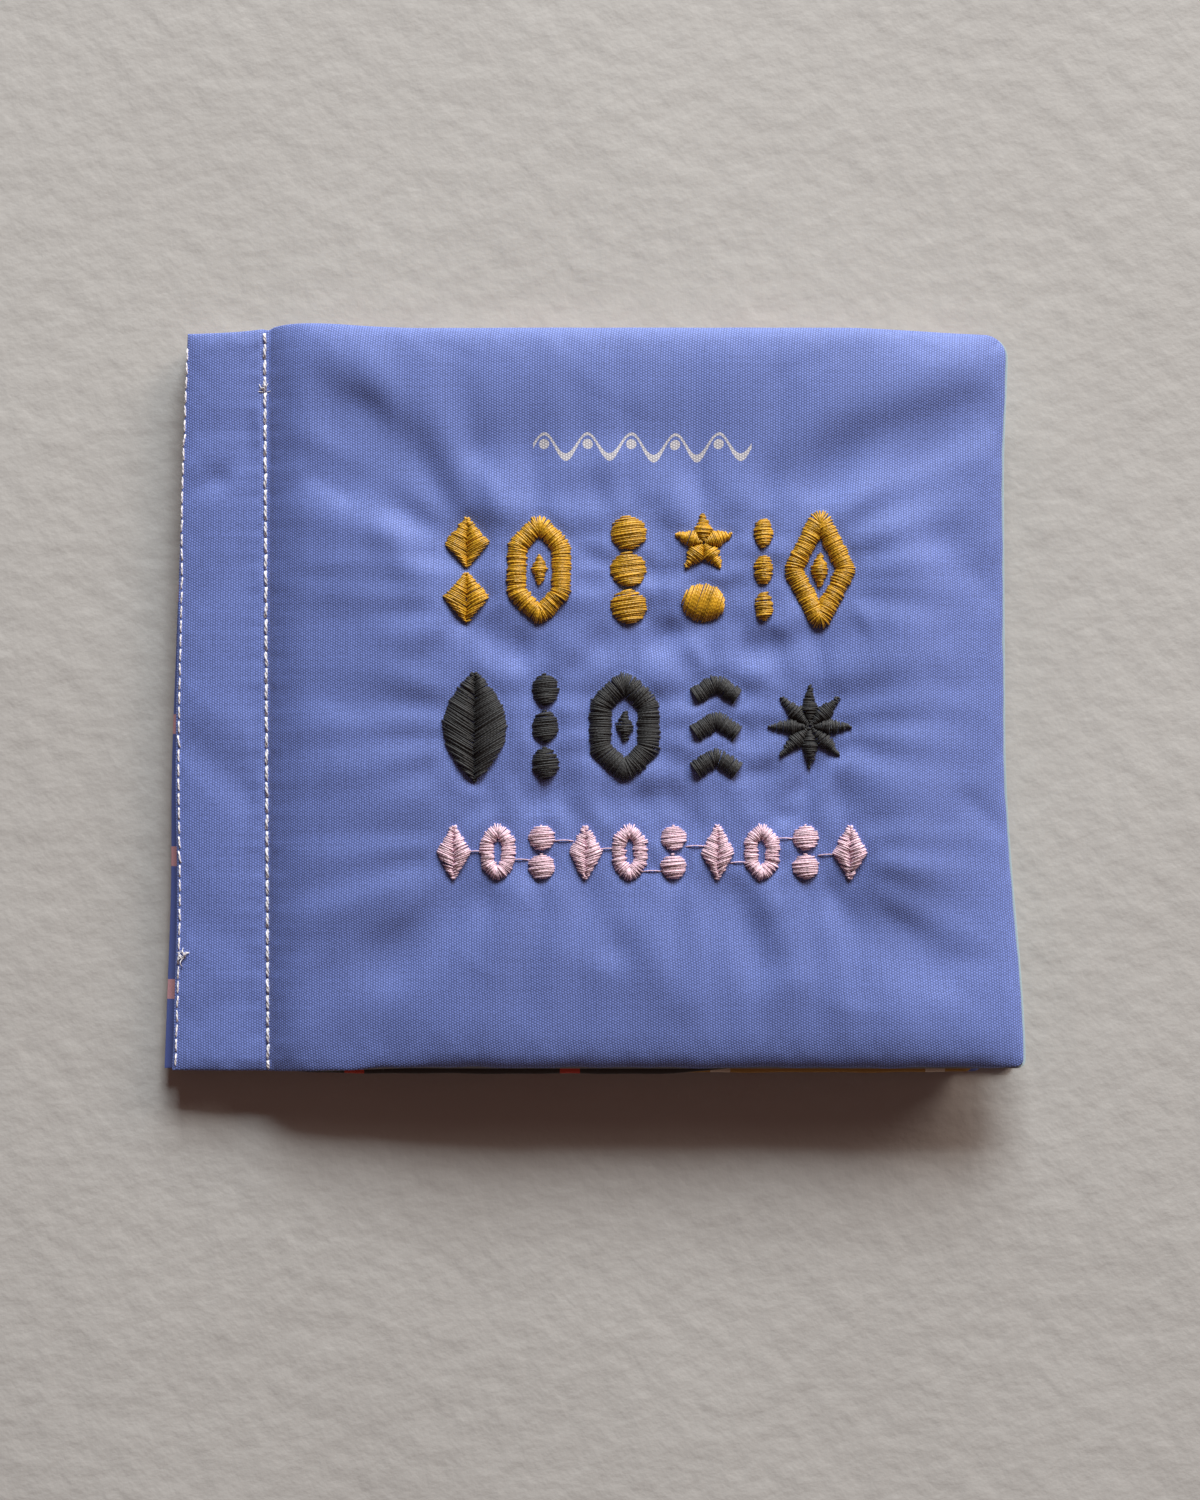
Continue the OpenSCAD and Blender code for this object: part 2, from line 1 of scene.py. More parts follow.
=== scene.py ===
"""Looks of a soft cloth crinkle book: wrinkled blue cotton covers with raised satin-stitch motifs,
four cloth leaves and one line of white binding stitches. It lies closed on a pale floor, seen from above.

Shapes are worked out in millimetres, in the frame of the model, and go into their meshes in metres.
"""

import math

import bpy
import numpy as np
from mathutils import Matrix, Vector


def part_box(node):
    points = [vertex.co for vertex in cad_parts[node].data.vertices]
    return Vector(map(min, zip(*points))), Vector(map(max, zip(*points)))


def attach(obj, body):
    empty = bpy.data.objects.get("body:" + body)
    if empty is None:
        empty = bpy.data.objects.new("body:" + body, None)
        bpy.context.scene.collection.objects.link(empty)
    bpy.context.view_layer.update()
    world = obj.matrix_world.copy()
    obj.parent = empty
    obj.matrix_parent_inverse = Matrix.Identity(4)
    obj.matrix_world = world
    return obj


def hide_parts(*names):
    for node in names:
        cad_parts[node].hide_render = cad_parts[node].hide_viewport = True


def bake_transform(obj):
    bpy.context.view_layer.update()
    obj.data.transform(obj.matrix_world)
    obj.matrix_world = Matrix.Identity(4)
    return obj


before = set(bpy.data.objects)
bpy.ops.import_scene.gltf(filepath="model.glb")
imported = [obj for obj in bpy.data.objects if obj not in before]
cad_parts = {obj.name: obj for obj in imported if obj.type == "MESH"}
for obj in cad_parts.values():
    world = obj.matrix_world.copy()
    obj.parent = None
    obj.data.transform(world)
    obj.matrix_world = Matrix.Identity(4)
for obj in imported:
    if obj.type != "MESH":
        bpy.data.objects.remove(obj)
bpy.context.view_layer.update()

MM = 0.001

# The camera looks straight down, from a little towards the bottom edge
camera = bpy.data.objects.new("camera", bpy.data.cameras.new("camera"))
bpy.context.scene.collection.objects.link(camera)
bpy.context.scene.camera = camera
camera.data.sensor_fit = "VERTICAL"
camera.data.sensor_height = 36.0
camera.data.lens = 60.0
camera.data.clip_start = 0.01
AIM, AWAY, TILT = np.array([1.6, -9.6, 13.0]), 461.0, math.radians(2.0)
camera.location = (AIM + AWAY * np.array([0.0, -math.sin(TILT), math.cos(TILT)])) * MM
camera.rotation_euler = (TILT, 0.0, 0.0)

# Sizes of the book, from the model
cover_low, cover_high = (np.array(c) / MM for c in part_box("front_cover"))
leaves_low, leaves_high = (np.array(c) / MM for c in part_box("back_margin"))
SPINE_X = leaves_low[0]
MARGIN_END = leaves_high[0]
FLAP_X = cover_low[0]
BOOK_H = leaves_high[1] - leaves_low[1]

# Edges of the book
SPINE_LEAN = 4.4
FORE_DRAW = 3.1
FORE_SWING = 0.9
FLARE_H = 62.0
COVER_OUT = 1.2
FORE_X = -SPINE_X - FORE_DRAW - COVER_OUT
TOP_CORNER_R = 4.0
BOTTOM_CORNER_R = 1.6
FOOT_DRAW = 1.05
MARGIN_DRAW = 1.5
SEAM_X = MARGIN_END - 1.2
SEAM_LEAN = 1.3

# Heights of the leaves and the covers
PAGE_LEAVES = 4
SEAM_PITCH = 1.15
LEAF_PITCH = 2.1
LEAF_GAP = 0.25
SPINE_FALL = 0.14
FORE_FALL = 0.45
SWELL_W = 28.0
COVER_LOFT = 3.3
CORNER_LIFT = 2.0
LIFT_REACH = 46.0
CLOTH_T = 0.35
FILM_T = 0.03
RIM_T = 0.2
ROLL_W = 3.5
PAGE_INSET = 3.5

# Sewing
GROOVE_D = 0.35
STITCH_PITCH = 3.05
EDGE_STITCH_PITCH = 2.7
GOLD_Y, CHARCOAL_Y, PINK_Y = 23.7, -5.3, -28.4
TALL_H, SMALL_H = 20.4, 10.6
GOLD_STROKE, CHARCOAL_STROKE, PINK_STROKE = 3.2, 3.8, 2.2
ART_X = (FLAP_X + FORE_X) / 2 + 3.0
ART_HALF = 0.57 * (FORE_X - FLAP_X) / 2
SATIN_RISE = 0.85
SATIN_PITCH = 0.31
SATIN_R = 0.2


def ease(t):
    """Smooth step: 0 below 0, 1 above 1, and 3t^2 - 2t^3 between."""
    t = np.clip(t, 0, 1)
    return t * t * (3 - 2 * t)


def roll(d, width=ROLL_W):
    """Quarter ellipse: the share of a leaf's height at the distance d from its edge."""
    return np.sqrt(1 - (1 - np.clip(d / width, 0, 1)) ** 2)


def pillow(d, x=0.0, reach=18.0):
    """Share of a stuffed cover's height: half of it within 7 mm of its edge, the rest within a longer
    reach. The thin margin, where x is left of the seam, rolls over within its last millimetres."""
    return np.where(x < SEAM_X, roll(d), 0.5 * roll(d, 7.0) + 0.5 * roll(d, reach))


def bump(d, width):
    """Bell curve of height 1 and half width `width`."""
    return np.exp(-((d / width) ** 2))


def spine_edge(t, draw=0.0):
    lean = SPINE_LEAN * t / BOOK_H - 0.8 * ease((t / BOOK_H - 0.2) / 0.25)
    return SPINE_X + lean + draw * (1 - ease(t / (0.8 * BOOK_H)))


def fore_edge(t, flare=1.0):
    swing = FORE_SWING * ease((t / BOOK_H - 0.8) * 5)
    return FORE_X + flare * (COVER_OUT + FORE_DRAW * (1 - ease(t / FLARE_H))) + swing


def head_line(x):
    """How far a cover's top edge stands out: a hump over the swelling, drawn back at the fore-edge."""
    hump = 1.4 * bump(x + 55, np.where(x < -55, 9.0, 14.0)) - 0.35 * bump(x - SEAM_X, 0.8)
    return hump - ease((x - 44) / 34)


def seam_line(t):
    return SEAM_X + SEAM_LEAN * (0.5 - t / BOOK_H)


def swell(x):
    """Share of the full height past the seam: it rises fast at first, then ever more gently."""
    past = x - SEAM_X - 0.4
    near, far = ((1 - np.clip(past / w, 0, 1)) ** 2 for w in (0.3 * SWELL_W, 1.8 * SWELL_W))
    return 1 - 0.34 * near - 0.66 * far


def pitch(x):
    """Height of one leaf: low at the seam, a little lower still at the spine edge, full past the swelling and
    lower again towards the fore-edge."""
    fall = SPINE_FALL * ease((SEAM_X - 6 - x) / 12) + FORE_FALL * ease((x - FORE_X + 28) / 32)
    return SEAM_PITCH + (LEAF_PITCH - SEAM_PITCH) * swell(x) - fall


def loft(x):
    """Thickness of the front cover."""
    return SEAM_PITCH + (COVER_LOFT - SEAM_PITCH) * swell(x)


def lift(x, y):
    """Rise of the front cover's free bottom corner."""
    return CORNER_LIFT * ease(1 - np.hypot(x + SPINE_X, y + BOOK_H / 2) / LIFT_REACH) ** 1.5


# Folds of the front cover: start and end as shares of its width and height, half width and height in
# millimetres. Valleys have a height below zero. The first twenty are the model's own.
FOLDS = [
    (0.03, 0.93, 0.12, 0.87, 5.5, -0.7), (0.12, 0.87, 0.25, 0.72, 6, -1.1),
    (0.06, 0.99, 0.30, 0.79, 6, 0.55), (0.02, 0.84, 0.11, 0.80, 3.5, -0.5),
    (0.09, 0.71, 0.20, 0.60, 9, 0.45), (0.30, 0.84, 0.43, 0.77, 4.5, -0.4),
    (0.73, 0.78, 0.98, 0.885, 5.5, -0.9), (0.70, 0.84, 0.94, 0.95, 6, 0.5),
    (0.76, 0.74, 0.98, 0.82, 6, 0.45), (0.92, 0.705, 1.0, 0.65, 4.5, -0.55),
    (0.27, 0.235, 0.16, 0.155, 5.5, -0.85), (0.16, 0.155, 0.04, 0.10, 6, -0.6),
    (0.16, 0.24, 0.03, 0.19, 7, 0.45), (0.62, 0.23, 0.68, 0.15, 5, -0.6),
    (0.78, 0.235, 0.91, 0.14, 5.5, -0.8), (0.34, 0.17, 0.55, 0.15, 9, 0.4),
    (0.70, 0.12, 0.84, 0.07, 7, 0.35), (0.30, 0.575, 0.80, 0.575, 4, -0.25),
    (0.30, 0.365, 0.80, 0.365, 4, -0.25), (0.05, 0.45, 0.17, 0.38, 8, 0.35),
    (0.01, 0.775, 0.05, 0.80, 2.0, -0.3), (0.05, 0.80, 0.10, 0.775, 2.0, -0.3),
    (0.96, 0.36, 1.0, 0.33, 2.6, -0.4), (0.95, 0.49, 1.0, 0.47, 3.0, 0.2),
    (0.29, 0.83, 0.33, 0.78, 3.0, -0.5), (0.38, 0.80, 0.48, 0.82, 4.0, 0.4),
    (0.52, 0.75, 0.54, 0.70, 2.6, -0.4), (0.58, 0.80, 0.61, 0.74, 3.0, -0.4),
    (0.27, 0.60, 0.34, 0.565, 3.0, -0.5), (0.40, 0.575, 0.45, 0.545, 3.0, 0.35),
    (0.53, 0.575, 0.60, 0.60, 2.6, -0.45), (0.67, 0.56, 0.73, 0.585, 3.0, -0.35),
    (0.54, 0.37, 0.58, 0.33, 2.6, -0.4), (0.70, 0.35, 0.74, 0.40, 2.4, -0.35),
    (0.36, 0.36, 0.41, 0.385, 2.8, -0.35), (0.44, 0.24, 0.47, 0.17, 3.2, -0.4),
    (0.70, 0.22, 0.72, 0.13, 4.0, 0.4), (0.50, 0.20, 0.56, 0.10, 4.0, 0.3),
    (0.02, 0.0, 0.14, 0.02, 9.0, -0.9), (0.16, 0.72, 0.20, 0.66, 3.5, 0.45),
    (0.87, 0.28, 0.88, 0.68, 8.0, 1.5),
    (0.22, 0.835, 0.90, 0.835, 9.0, -0.7), (0.08, 0.30, 0.18, 0.52, 10.0, 0.3),
]
MARGIN_FOLDS = [
    (-78.0, 38.5, -70.0, 41.5, 2.2, -0.35), (-70.0, 41.5, -62.5, 49.0, 3.0, -0.3),
    (-75.0, 50.0, -64.0, 51.5, 3.2, -0.25), (-74.5, -9.0, -63.5, -18.0, 3.6, -0.4),
    (-75.0, 0.0, -64.0, -6.0, 4.0, 0.25), (-77.0, 18.0, -65.0, 24.0, 4.0, -0.2),
    (-77.0, -40.0, -65.0, -46.0, 4.0, -0.25), (-76.0, -60.0, -64.0, -55.0, 3.0, -0.2),
]
FOLD_GAIN = 1.25


def fold_lines(x, y, lines):
    """Sum of bell curves across the distance to each fold's line from (x0, y0) to (x1, y1)."""
    total = np.zeros_like(x)
    for x0, y0, x1, y1, width, height in lines:
        dx, dy = x1 - x0, y1 - y0
        t = np.clip(((x - x0) * dx + (y - y0) * dy) / (dx * dx + dy * dy), 0, 1)
        total += height * bump(np.hypot(x - x0 - t * dx, y - y0 - t * dy), width)
    return total


def on_cover(fx, fy):
    return FLAP_X + fx * (FORE_X - FLAP_X), (fy - 0.5) * BOOK_H


def folds(x, y):
    """The front cover's folds, fading out at the hinge, and the margin's."""
    flap = [(*on_cover(a, b), *on_cover(c, d), width, height) for a, b, c, d, width, height in FOLDS]
    edge = ease((SEAM_X - 1 - x) / 3) * fold_lines(x, y, MARGIN_FOLDS)
    depth = FOLD_GAIN * ease((x - FLAP_X - 1) / 12) * fold_lines(x, y, flap)
    room = 0.55 * loft(x)
    return np.where(depth < 0, -room * np.tanh(-depth / room), depth) + edge


def creases(x, y, count, seed, length, width, height, box):
    """Sum of short bell-shaped creases, a little curved, with seeded places, turns and sizes, in a box."""
    rng = np.random.default_rng(seed)
    total = np.zeros_like(x)
    for _ in range(count):
        cx, cy = rng.uniform(*box[0]), rng.uniform(*box[1])
        turn = rng.uniform(0, math.pi)
        along = (x - cx) * math.cos(turn) + (y - cy) * math.sin(turn)
        across = (y - cy) * math.cos(turn) - (x - cx) * math.sin(turn)
        half = rng.uniform(*length) / 2
        size = rng.choice((-1, 1)) * rng.uniform(*height)
        total += size * bump(across + along ** 2 / (9 * half), rng.uniform(*width)) * bump(along, half)
    return total


def waves(q, lengths, seed):
    """Mean of sines of the given wavelengths with seeded phases."""
    phases = np.random.default_rng(seed).uniform(0, 2 * math.pi, len(lengths))
    return sum(np.sin(2 * math.pi * q / w + p) for w, p in zip(lengths, phases)) / len(lengths)


# Outlines of the motifs, round their own middle, as rows of x and y

def circle(n):
    a = 2 * math.pi * np.arange(n) / n
    return np.stack([np.cos(a), np.sin(a)], 1)


def disc(w, h):
    return circle(32) * [w / 2, h / 2]


def lozenge(w, h):
    c = circle(32)
    return c * [w / 2, h / 2] / np.abs(c).sum(1, keepdims=True)


def star(w, points):
    a = math.pi * np.arange(2 * points) / points
    r = np.where(np.arange(2 * points) % 2 == 0, w / 2, w / 4.2)
    return np.stack([-r * np.sin(a), r * np.cos(a)], 1)


def lens(w, h):
    u = np.linspace(-1, 1, 25)[:-1]
    half = w / 2 * (1 - u * u)
    return np.concatenate([np.stack([half, h / 2 * u], 1), np.stack([-half, -h / 2 * u], 1)])


def tall_hexagon(w, h):
    half, high = w / 2, h / 2
    return np.array([[0, -high], [half, -h / 4], [half, h / 4], [0, high], [-half, h / 4], [-half, -h / 4]])


def chevron(w, h):
    return np.array([[-w / 2, -h / 2], [0, h / 2], [w / 2, -h / 2]])


def halves(centre, outline, turn):
    """Two pads, left and right of a shape's middle line, with stitches that slope both ways like a leaf's."""
    side = outline[:, 0]
    return [("pad", centre, np.where((sign * side > -1e-9)[:, None], outline, outline * [0, 1]), sign * turn)
            for sign in (-1, 1)]


def rays(centre, outline):
    """Pads from a star's middle to each of its points, stitched across."""
    n = len(outline)
    turns = np.degrees(np.arctan2(outline[:, 1], outline[:, 0])) + 90
    return [("pad", centre, np.stack([0 * outline[0], outline[i - 1], outline[i], outline[(i + 1) % n]]),
             turns[i]) for i in range(0, n, 2)]


def framed(centre, w, h, stroke, outline):
    """A line along an outline of width w and height h over all, and a lozenge in its middle."""
    return [("line", centre, outline(w - stroke, h - stroke), stroke),
            ("pad", centre, lozenge(0.24 * w, 0.3 * h), 0)]


def on_row(row_y, share, up=0.0):
    return np.array([ART_X + share * ART_HALF, row_y + up * TALL_H])


def column(kind, row_y, share, outline, last):
    """The same shape three times, one above the other."""
    return [(kind, on_row(row_y, share, i / 3), outline, last) for i in (-1, 0, 1)]


def motif_rows():
    """The three rows of motifs: each is pads, filled outlines, and lines, stitched along an outline."""
    h = TALL_H
    gold = [m for side in (-1, 1)
            for m in halves(on_row(GOLD_Y, -0.89, side / 4), lozenge(0.41 * h, 0.48 * h), 28)]
    gold += framed(on_row(GOLD_Y, -0.54), 0.56 * h, h, GOLD_STROKE, tall_hexagon)
    gold += column("pad", GOLD_Y, -0.11, disc(0.32 * h, 0.3 * h), 8)
    gold += rays(on_row(GOLD_Y, 0.25, 0.24), star(0.57 * h, 5))
    gold += [("pad", on_row(GOLD_Y, 0.25, -0.3), disc(0.39 * h, 0.34 * h), 70)]
    gold += column("pad", GOLD_Y, 0.54, disc(GOLD_STROKE, 0.26 * h), 4)
    gold += framed(on_row(GOLD_Y, 0.81), 0.64 * h, 1.1 * h, GOLD_STROKE, lozenge)
    charcoal = halves(on_row(CHARCOAL_Y, -0.85), lens(0.57 * h, h), 32)
    charcoal += column("pad", CHARCOAL_Y, -0.51, disc(0.23 * h, 0.28 * h), 6)
    charcoal += framed(on_row(CHARCOAL_Y, -0.13), 0.62 * h, h, CHARCOAL_STROKE, tall_hexagon)
    charcoal += column("open line", CHARCOAL_Y, 0.31, chevron(0.39 * h, 0.13 * h), 0.8 * CHARCOAL_STROKE)
    charcoal += rays(on_row(CHARCOAL_Y, 0.76), star(0.78 * h, 8))
    pink, count, w, h = [], 10, 0.58 * SMALL_H, SMALL_H
    for i in range(count):
        c = np.array([ART_X + (2 * i / (count - 1) - 1) * 0.95 * ART_HALF, PINK_Y])
        if i % 3 == 0:
            pink += halves(c, lozenge(w, h), 24)
        elif i % 3 == 1:
            pink.append(("line", c, tall_hexagon(w - PINK_STROKE, h - PINK_STROKE), PINK_STROKE))
        else:
            pink += [("pad", c + [0, side * h / 4], disc(0.75 * w, 0.42 * h), 5) for side in (-1, 1)]
    return {"gold": gold, "charcoal": charcoal, "pink": pink}


MOTIFS = motif_rows()


def blur(z, cells):
    """Gaussian blur of a height grid, its edges carried on straight."""
    reach = int(3 * cells)
    taps = np.exp(-(np.arange(-reach, reach + 1) / cells) ** 2 / 2)
    taps /= taps.sum()
    for axis in (0, 1):
        pad = [(reach, reach) if a == axis else (0, 0) for a in (0, 1)]
        wide = np.pad(z, pad, mode="reflect", reflect_type="odd")
        z = sum(w * np.take(wide, np.arange(k, k + z.shape[axis]), axis) for k, w in enumerate(taps))
    return z


def sewn_puckers(step=1.6):
    """Wrinkles of the front cover's cloth. A grid of cloth, a little too large for the frame that holds its
    rim, is simulated under light pressure while each motif draws it together. What is left after the broad
    dome is taken away is the height of the wrinkles. It gives their grid's x, y and heights."""
    xs = np.linspace(SEAM_X, FORE_X, round((FORE_X - SEAM_X) / step))
    ys = np.linspace(-BOOK_H / 2, BOOK_H / 2, round(BOOK_H / step))
    x, y = np.meshgrid(xs, ys, indexing="ij")
    scale = 10 * MM
    start = 3 * blur(np.random.default_rng(1).normal(0, 0.15, x.shape), 1.5)
    start[[0, -1]] = start[:, [0, -1]] = 0
    ids = np.arange(x.size).reshape(x.shape)
    quads = np.stack([ids[:-1, :-1], ids[1:, :-1], ids[1:, 1:], ids[:-1, 1:]], -1).reshape(-1, 4)
    mesh = bpy.data.meshes.new("cloth_trial")
    mesh.from_pydata((np.stack([x, y, start], -1).reshape(-1, 3) * scale).tolist(), [], quads.tolist())
    trial = bpy.data.objects.new("cloth_trial", mesh)
    bpy.context.scene.collection.objects.link(trial)
    held, drawn = trial.vertex_groups.new(name="held"), trial.vertex_groups.new(name="drawn")
    rim = np.unique(np.concatenate([ids[0], ids[-1], ids[:, 0], ids[:, -1]]))
    held.add(rim.tolist(), 1.0, "REPLACE")
    share = np.zeros_like(x)
    for _, centre, outline, _ in (m for row in MOTIFS.values() for m in row):
        half = np.abs(outline).max(0) + 1.5
        apart = np.hypot((x - centre[0]) / half[0], (y - centre[1]) / half[1])
        share = np.maximum(share, np.clip(1.35 - apart, 0, 1))
    for level in range(1, 11):
        inside = np.nonzero(np.round(share.ravel() * 10) == level)[0]
        drawn.add(inside.tolist(), level / 10, "REPLACE")
    cloth = trial.modifiers.new("cloth", "CLOTH")
    frames = 25
    cloth.point_cache.frame_start, cloth.point_cache.frame_end = 1, frames
    for name, value in {"quality": 5, "mass": 0.2, "tension_stiffness": 15, "compression_stiffness": 15,
                        "shear_stiffness": 5, "bending_stiffness": 0.3, "vertex_group_mass": "held",
                        "vertex_group_shrink": "drawn", "shrink_min": -0.014, "shrink_max": 0.05,
                        "use_pressure": True, "uniform_pressure_force": 0.6}.items():
        setattr(cloth.settings, name, value)
    cloth.settings.effector_weights.gravity = 0
    cloth.collision_settings.use_collision = False
    for k in range(1, frames + 1):
        bpy.context.scene.frame_set(k)
    settled = trial.evaluated_get(bpy.context.evaluated_depsgraph_get()).data
    points = np.empty(3 * x.size)
    settled.vertices.foreach_get("co", points)
    bpy.data.objects.remove(trial)
    bpy.context.scene.frame_set(1)
    z = points.reshape(*x.shape, 3)[:, :, 2] / scale
    return xs, ys, blur(z - blur(z, 6.0), 0.8)


PUCKERS = sewn_puckers()
PUCKER_SHARE = 1.4


def near_rows(x, y, reach):
    """1 among the rows of motifs, falling off outside them."""
    dx = np.maximum(0, np.abs(x - ART_X) - ART_HALF)
    dy = np.maximum(0, np.maximum(y - GOLD_Y - TALL_H / 2, PINK_Y - SMALL_H / 2 - y))
    return bump(np.hypot(dx, dy), reach)


def puckers(x, y):
    """Height of the simulated wrinkles at any point, straight between their grid's points. They fade away
    from the rows of motifs."""
    xs, ys, z = PUCKERS
    i = np.clip((x - xs[0]) / (xs[1] - xs[0]), 0, len(xs) - 1.001)
    j = np.clip((y - ys[0]) / (ys[1] - ys[0]), 0, len(ys) - 1.001)
    a, b = i.astype(int), j.astype(int)
    i, j = i - a, j - b
    left, right = ((1 - j) * z[k, b] + j * z[k, b + 1] for k in (a, a + 1))
    return PUCKER_SHARE * (0.3 + 0.7 * near_rows(x, y, 10.0)) * ((1 - i) * left + i * right)


def stitch_pull(x, y):
    """Dip of the cloth along the edges of every motif, where the needle went in."""
    nearest = np.full(x.shape, 9.0)
    for kind, centre, outline, stroke in (m for row in MOTIFS.values() for m in row):
        half = stroke / 2 if "line" in kind else 0.0
        close = np.nonzero((np.abs(x - centre[0]) < np.abs(outline[:, 0]).max() + 4)
                           & (np.abs(y - centre[1]) < np.abs(outline[:, 1]).max() + 4))
        px, py = x[close][:, None] - centre[0], y[close][:, None] - centre[1]
        a, b = outline, np.roll(outline, -1, axis=0)
        if kind == "open line":
            a, b = a[:-1], b[:-1]
        d = b - a
        square = np.maximum((d ** 2).sum(1), 1e-9)
        t = np.clip(((px - a[:, 0]) * d[:, 0] + (py - a[:, 1]) * d[:, 1]) / square, 0, 1)
        away = np.hypot(px - a[:, 0] - t * d[:, 0], py - a[:, 1] - t * d[:, 1]).min(1)
        nearest[close] = np.minimum(nearest[close], np.abs(away - half))
    return -0.22 * bump(nearest, 0.9)


def seam_detail(x, y):
    """Groove of the binding seam, its dimples at the needle holes and the puckers beside it."""
    off = x - seam_line(y + BOOK_H / 2)
    beat = np.cos(2 * math.pi * y / STITCH_PITCH)
    pull = waves(y, (6.3, 9.7, 15.1), 7)
    groove = bump(off, np.where(off < 0, 0.6, 1.1))
    dips = -GROOVE_D * groove - 0.2 * bump(off, 0.6) * np.clip(beat, 0, 1) ** 4
    return dips + (0.07 * beat + 0.16 * pull) * np.exp(-np.abs(off) / 3.2) * (1 - bump(off, 0.7))


def cover_top(x, y):
    """Outer face of the front cover and its margin inside their rolled edges: the stack, the cover's loft,
    the lifted corner, folds, small creases, simulated puckers and the binding seam's groove."""
    box = ((FLAP_X + 6, FORE_X), (-BOOK_H / 2, BOOK_H / 2))
    fine = creases(x, y, 80, 4, (8, 22), (1.2, 3.2), (0.04, 0.13), box)
    near_seam = ease((x - FLAP_X - 2) / 10)
    rows = ((ART_X - ART_HALF - 4, ART_X + ART_HALF + 4), (PINK_Y - 8, GOLD_Y + 14))
    fine += near_rows(x, y, 5.0) * creases(x, y, 90, 9, (6, 15), (1.3, 3.0), (0.14, 0.34), rows)
    return ((PAGE_LEAVES + 1) * pitch(x) + loft(x) + lift(x, y) + folds(x, y) + near_seam * fine
            + ease((x - SEAM_X - 1) / 4) * puckers(x, y) + stitch_pull(x, y) + seam_detail(x, y))


EDGE_LINES = np.array([0, 0.05, 0.18, 0.4, 0.75, 1.2, 1.75, 2.4, 3.2])


def stations(length, step, start=True, end=True):
    """Positions along a length: even steps, closer together near the ends that are rolled over."""
    first = EDGE_LINES if start else np.array([0.0])
    last = length - EDGE_LINES[::-1] if end else np.array([length])
    count = max(2, round((last[0] - first[-1]) / step) + 1)
    return np.concatenate([first[:-1], np.linspace(first[-1], last[0], count), last[1:]])


def leaf_grid(step, foot, head, spine_draw=0.0, spine_in=0.0, fore_in=0.0, flare=1.0, seam_step=None,
              stuffed=False):
    """Grid over a whole leaf, from the spine edge over the seam to the fore-edge. Each margin point is a
    share of the way from the spine edge to the seam, each other point a share of the way on to the
    fore-edge, and the fore-edge's corners are square rings pushed onto circles. foot(x) and head(x) are the
    insets of the bottom and top edges. It gives x, y, the share of the full height that the rolled edges
    leave, the distance to the nearest edge and the seam's row."""
    seam_step = seam_step or step
    near = np.arange(0, 2.4, seam_step)
    margin_w, cover_w = SEAM_X - SPINE_X, FORE_X - SEAM_X
    m = stations(margin_w - near[-1], step, True, False)
    m = np.concatenate([m[:-1], (margin_w - near[::-1])[:-1]]) / margin_w
    c = np.concatenate([near[:-1], near[-1] + stations(cover_w - near[-1], step, False, True)]) / cover_w
    t = stations(BOOK_H, step)
    t = np.broadcast_to(t, (len(m) + len(c), len(t)))
    left, seam, right = spine_edge(t, spine_draw) + spine_in, seam_line(t), fore_edge(t, flare) - fore_in
    share_m = np.concatenate([m, np.ones(len(c))])[:, None]
    share_c = np.concatenate([np.zeros(len(m)), c])[:, None]
    x = left + share_m * (seam - left) + share_c * (right - seam)
    side = np.where(t < BOOK_H / 2, -1.0, 1.0)
    half = BOOK_H / 2 - np.where(side < 0, foot(x), head(x))
    close = np.minimum(t, BOOK_H - t)
    r = np.where(side < 0, BOTTOM_CORNER_R, TOP_CORNER_R)
    cx, cy = 1 - (right - x) / r, 1 - close / r
    corner = (cx > 0) & (cy > 0)
    k = np.maximum(cx, cy) / np.maximum(np.hypot(cx, cy), 1e-9)
    from_fore, from_spine = right - x, x - left
    y = np.where(corner, side * (half - r + cy * k * r), side * half * (1 - close / (BOOK_H / 2)))
    x = np.where(corner, right - r + cx * k * r, x)
    if stuffed:
        height = roll(from_spine, 6.0) * pillow(from_fore, reach=24.0) * pillow(close, x)
    else:
        height = roll(from_spine) * roll(from_fore) * roll(close)
    return x, y, height, np.minimum(np.minimum(from_fore, close), from_spine), len(m)


def smooth_mesh(name, points, faces, uv=None, slots=None):
    """Mesh object from arrays: points in millimetres, and rows of three or four point numbers."""
    mesh = bpy.data.meshes.new(name)
    sizes = np.concatenate([np.full(len(f), f.shape[1]) for f in faces])
    loops = np.concatenate([f.ravel() for f in faces])
    mesh.vertices.add(len(points))
    mesh.vertices.foreach_set("co", (points * MM).astype(np.float32).ravel())
    mesh.loops.add(len(loops))
    mesh.loops.foreach_set("vertex_index", loops.astype(np.int32))
    mesh.polygons.add(len(sizes))
    mesh.polygons.foreach_set("loop_start", np.concatenate([[0], np.cumsum(sizes)[:-1]]).astype(np.int32))
    mesh.polygons.foreach_set("use_smooth", np.ones(len(sizes), bool))
    if slots is not None:
        mesh.polygons.foreach_set("material_index", slots.astype(np.int32))
    if uv is not None:
        mesh.uv_layers.new(name="cloth").data.foreach_set("uv", uv[loops].astype(np.float32).ravel())
    mesh.update(calc_edges=True)
    piece = bpy.data.objects.new(name, mesh)
    bpy.context.scene.collection.objects.link(piece)
    return piece


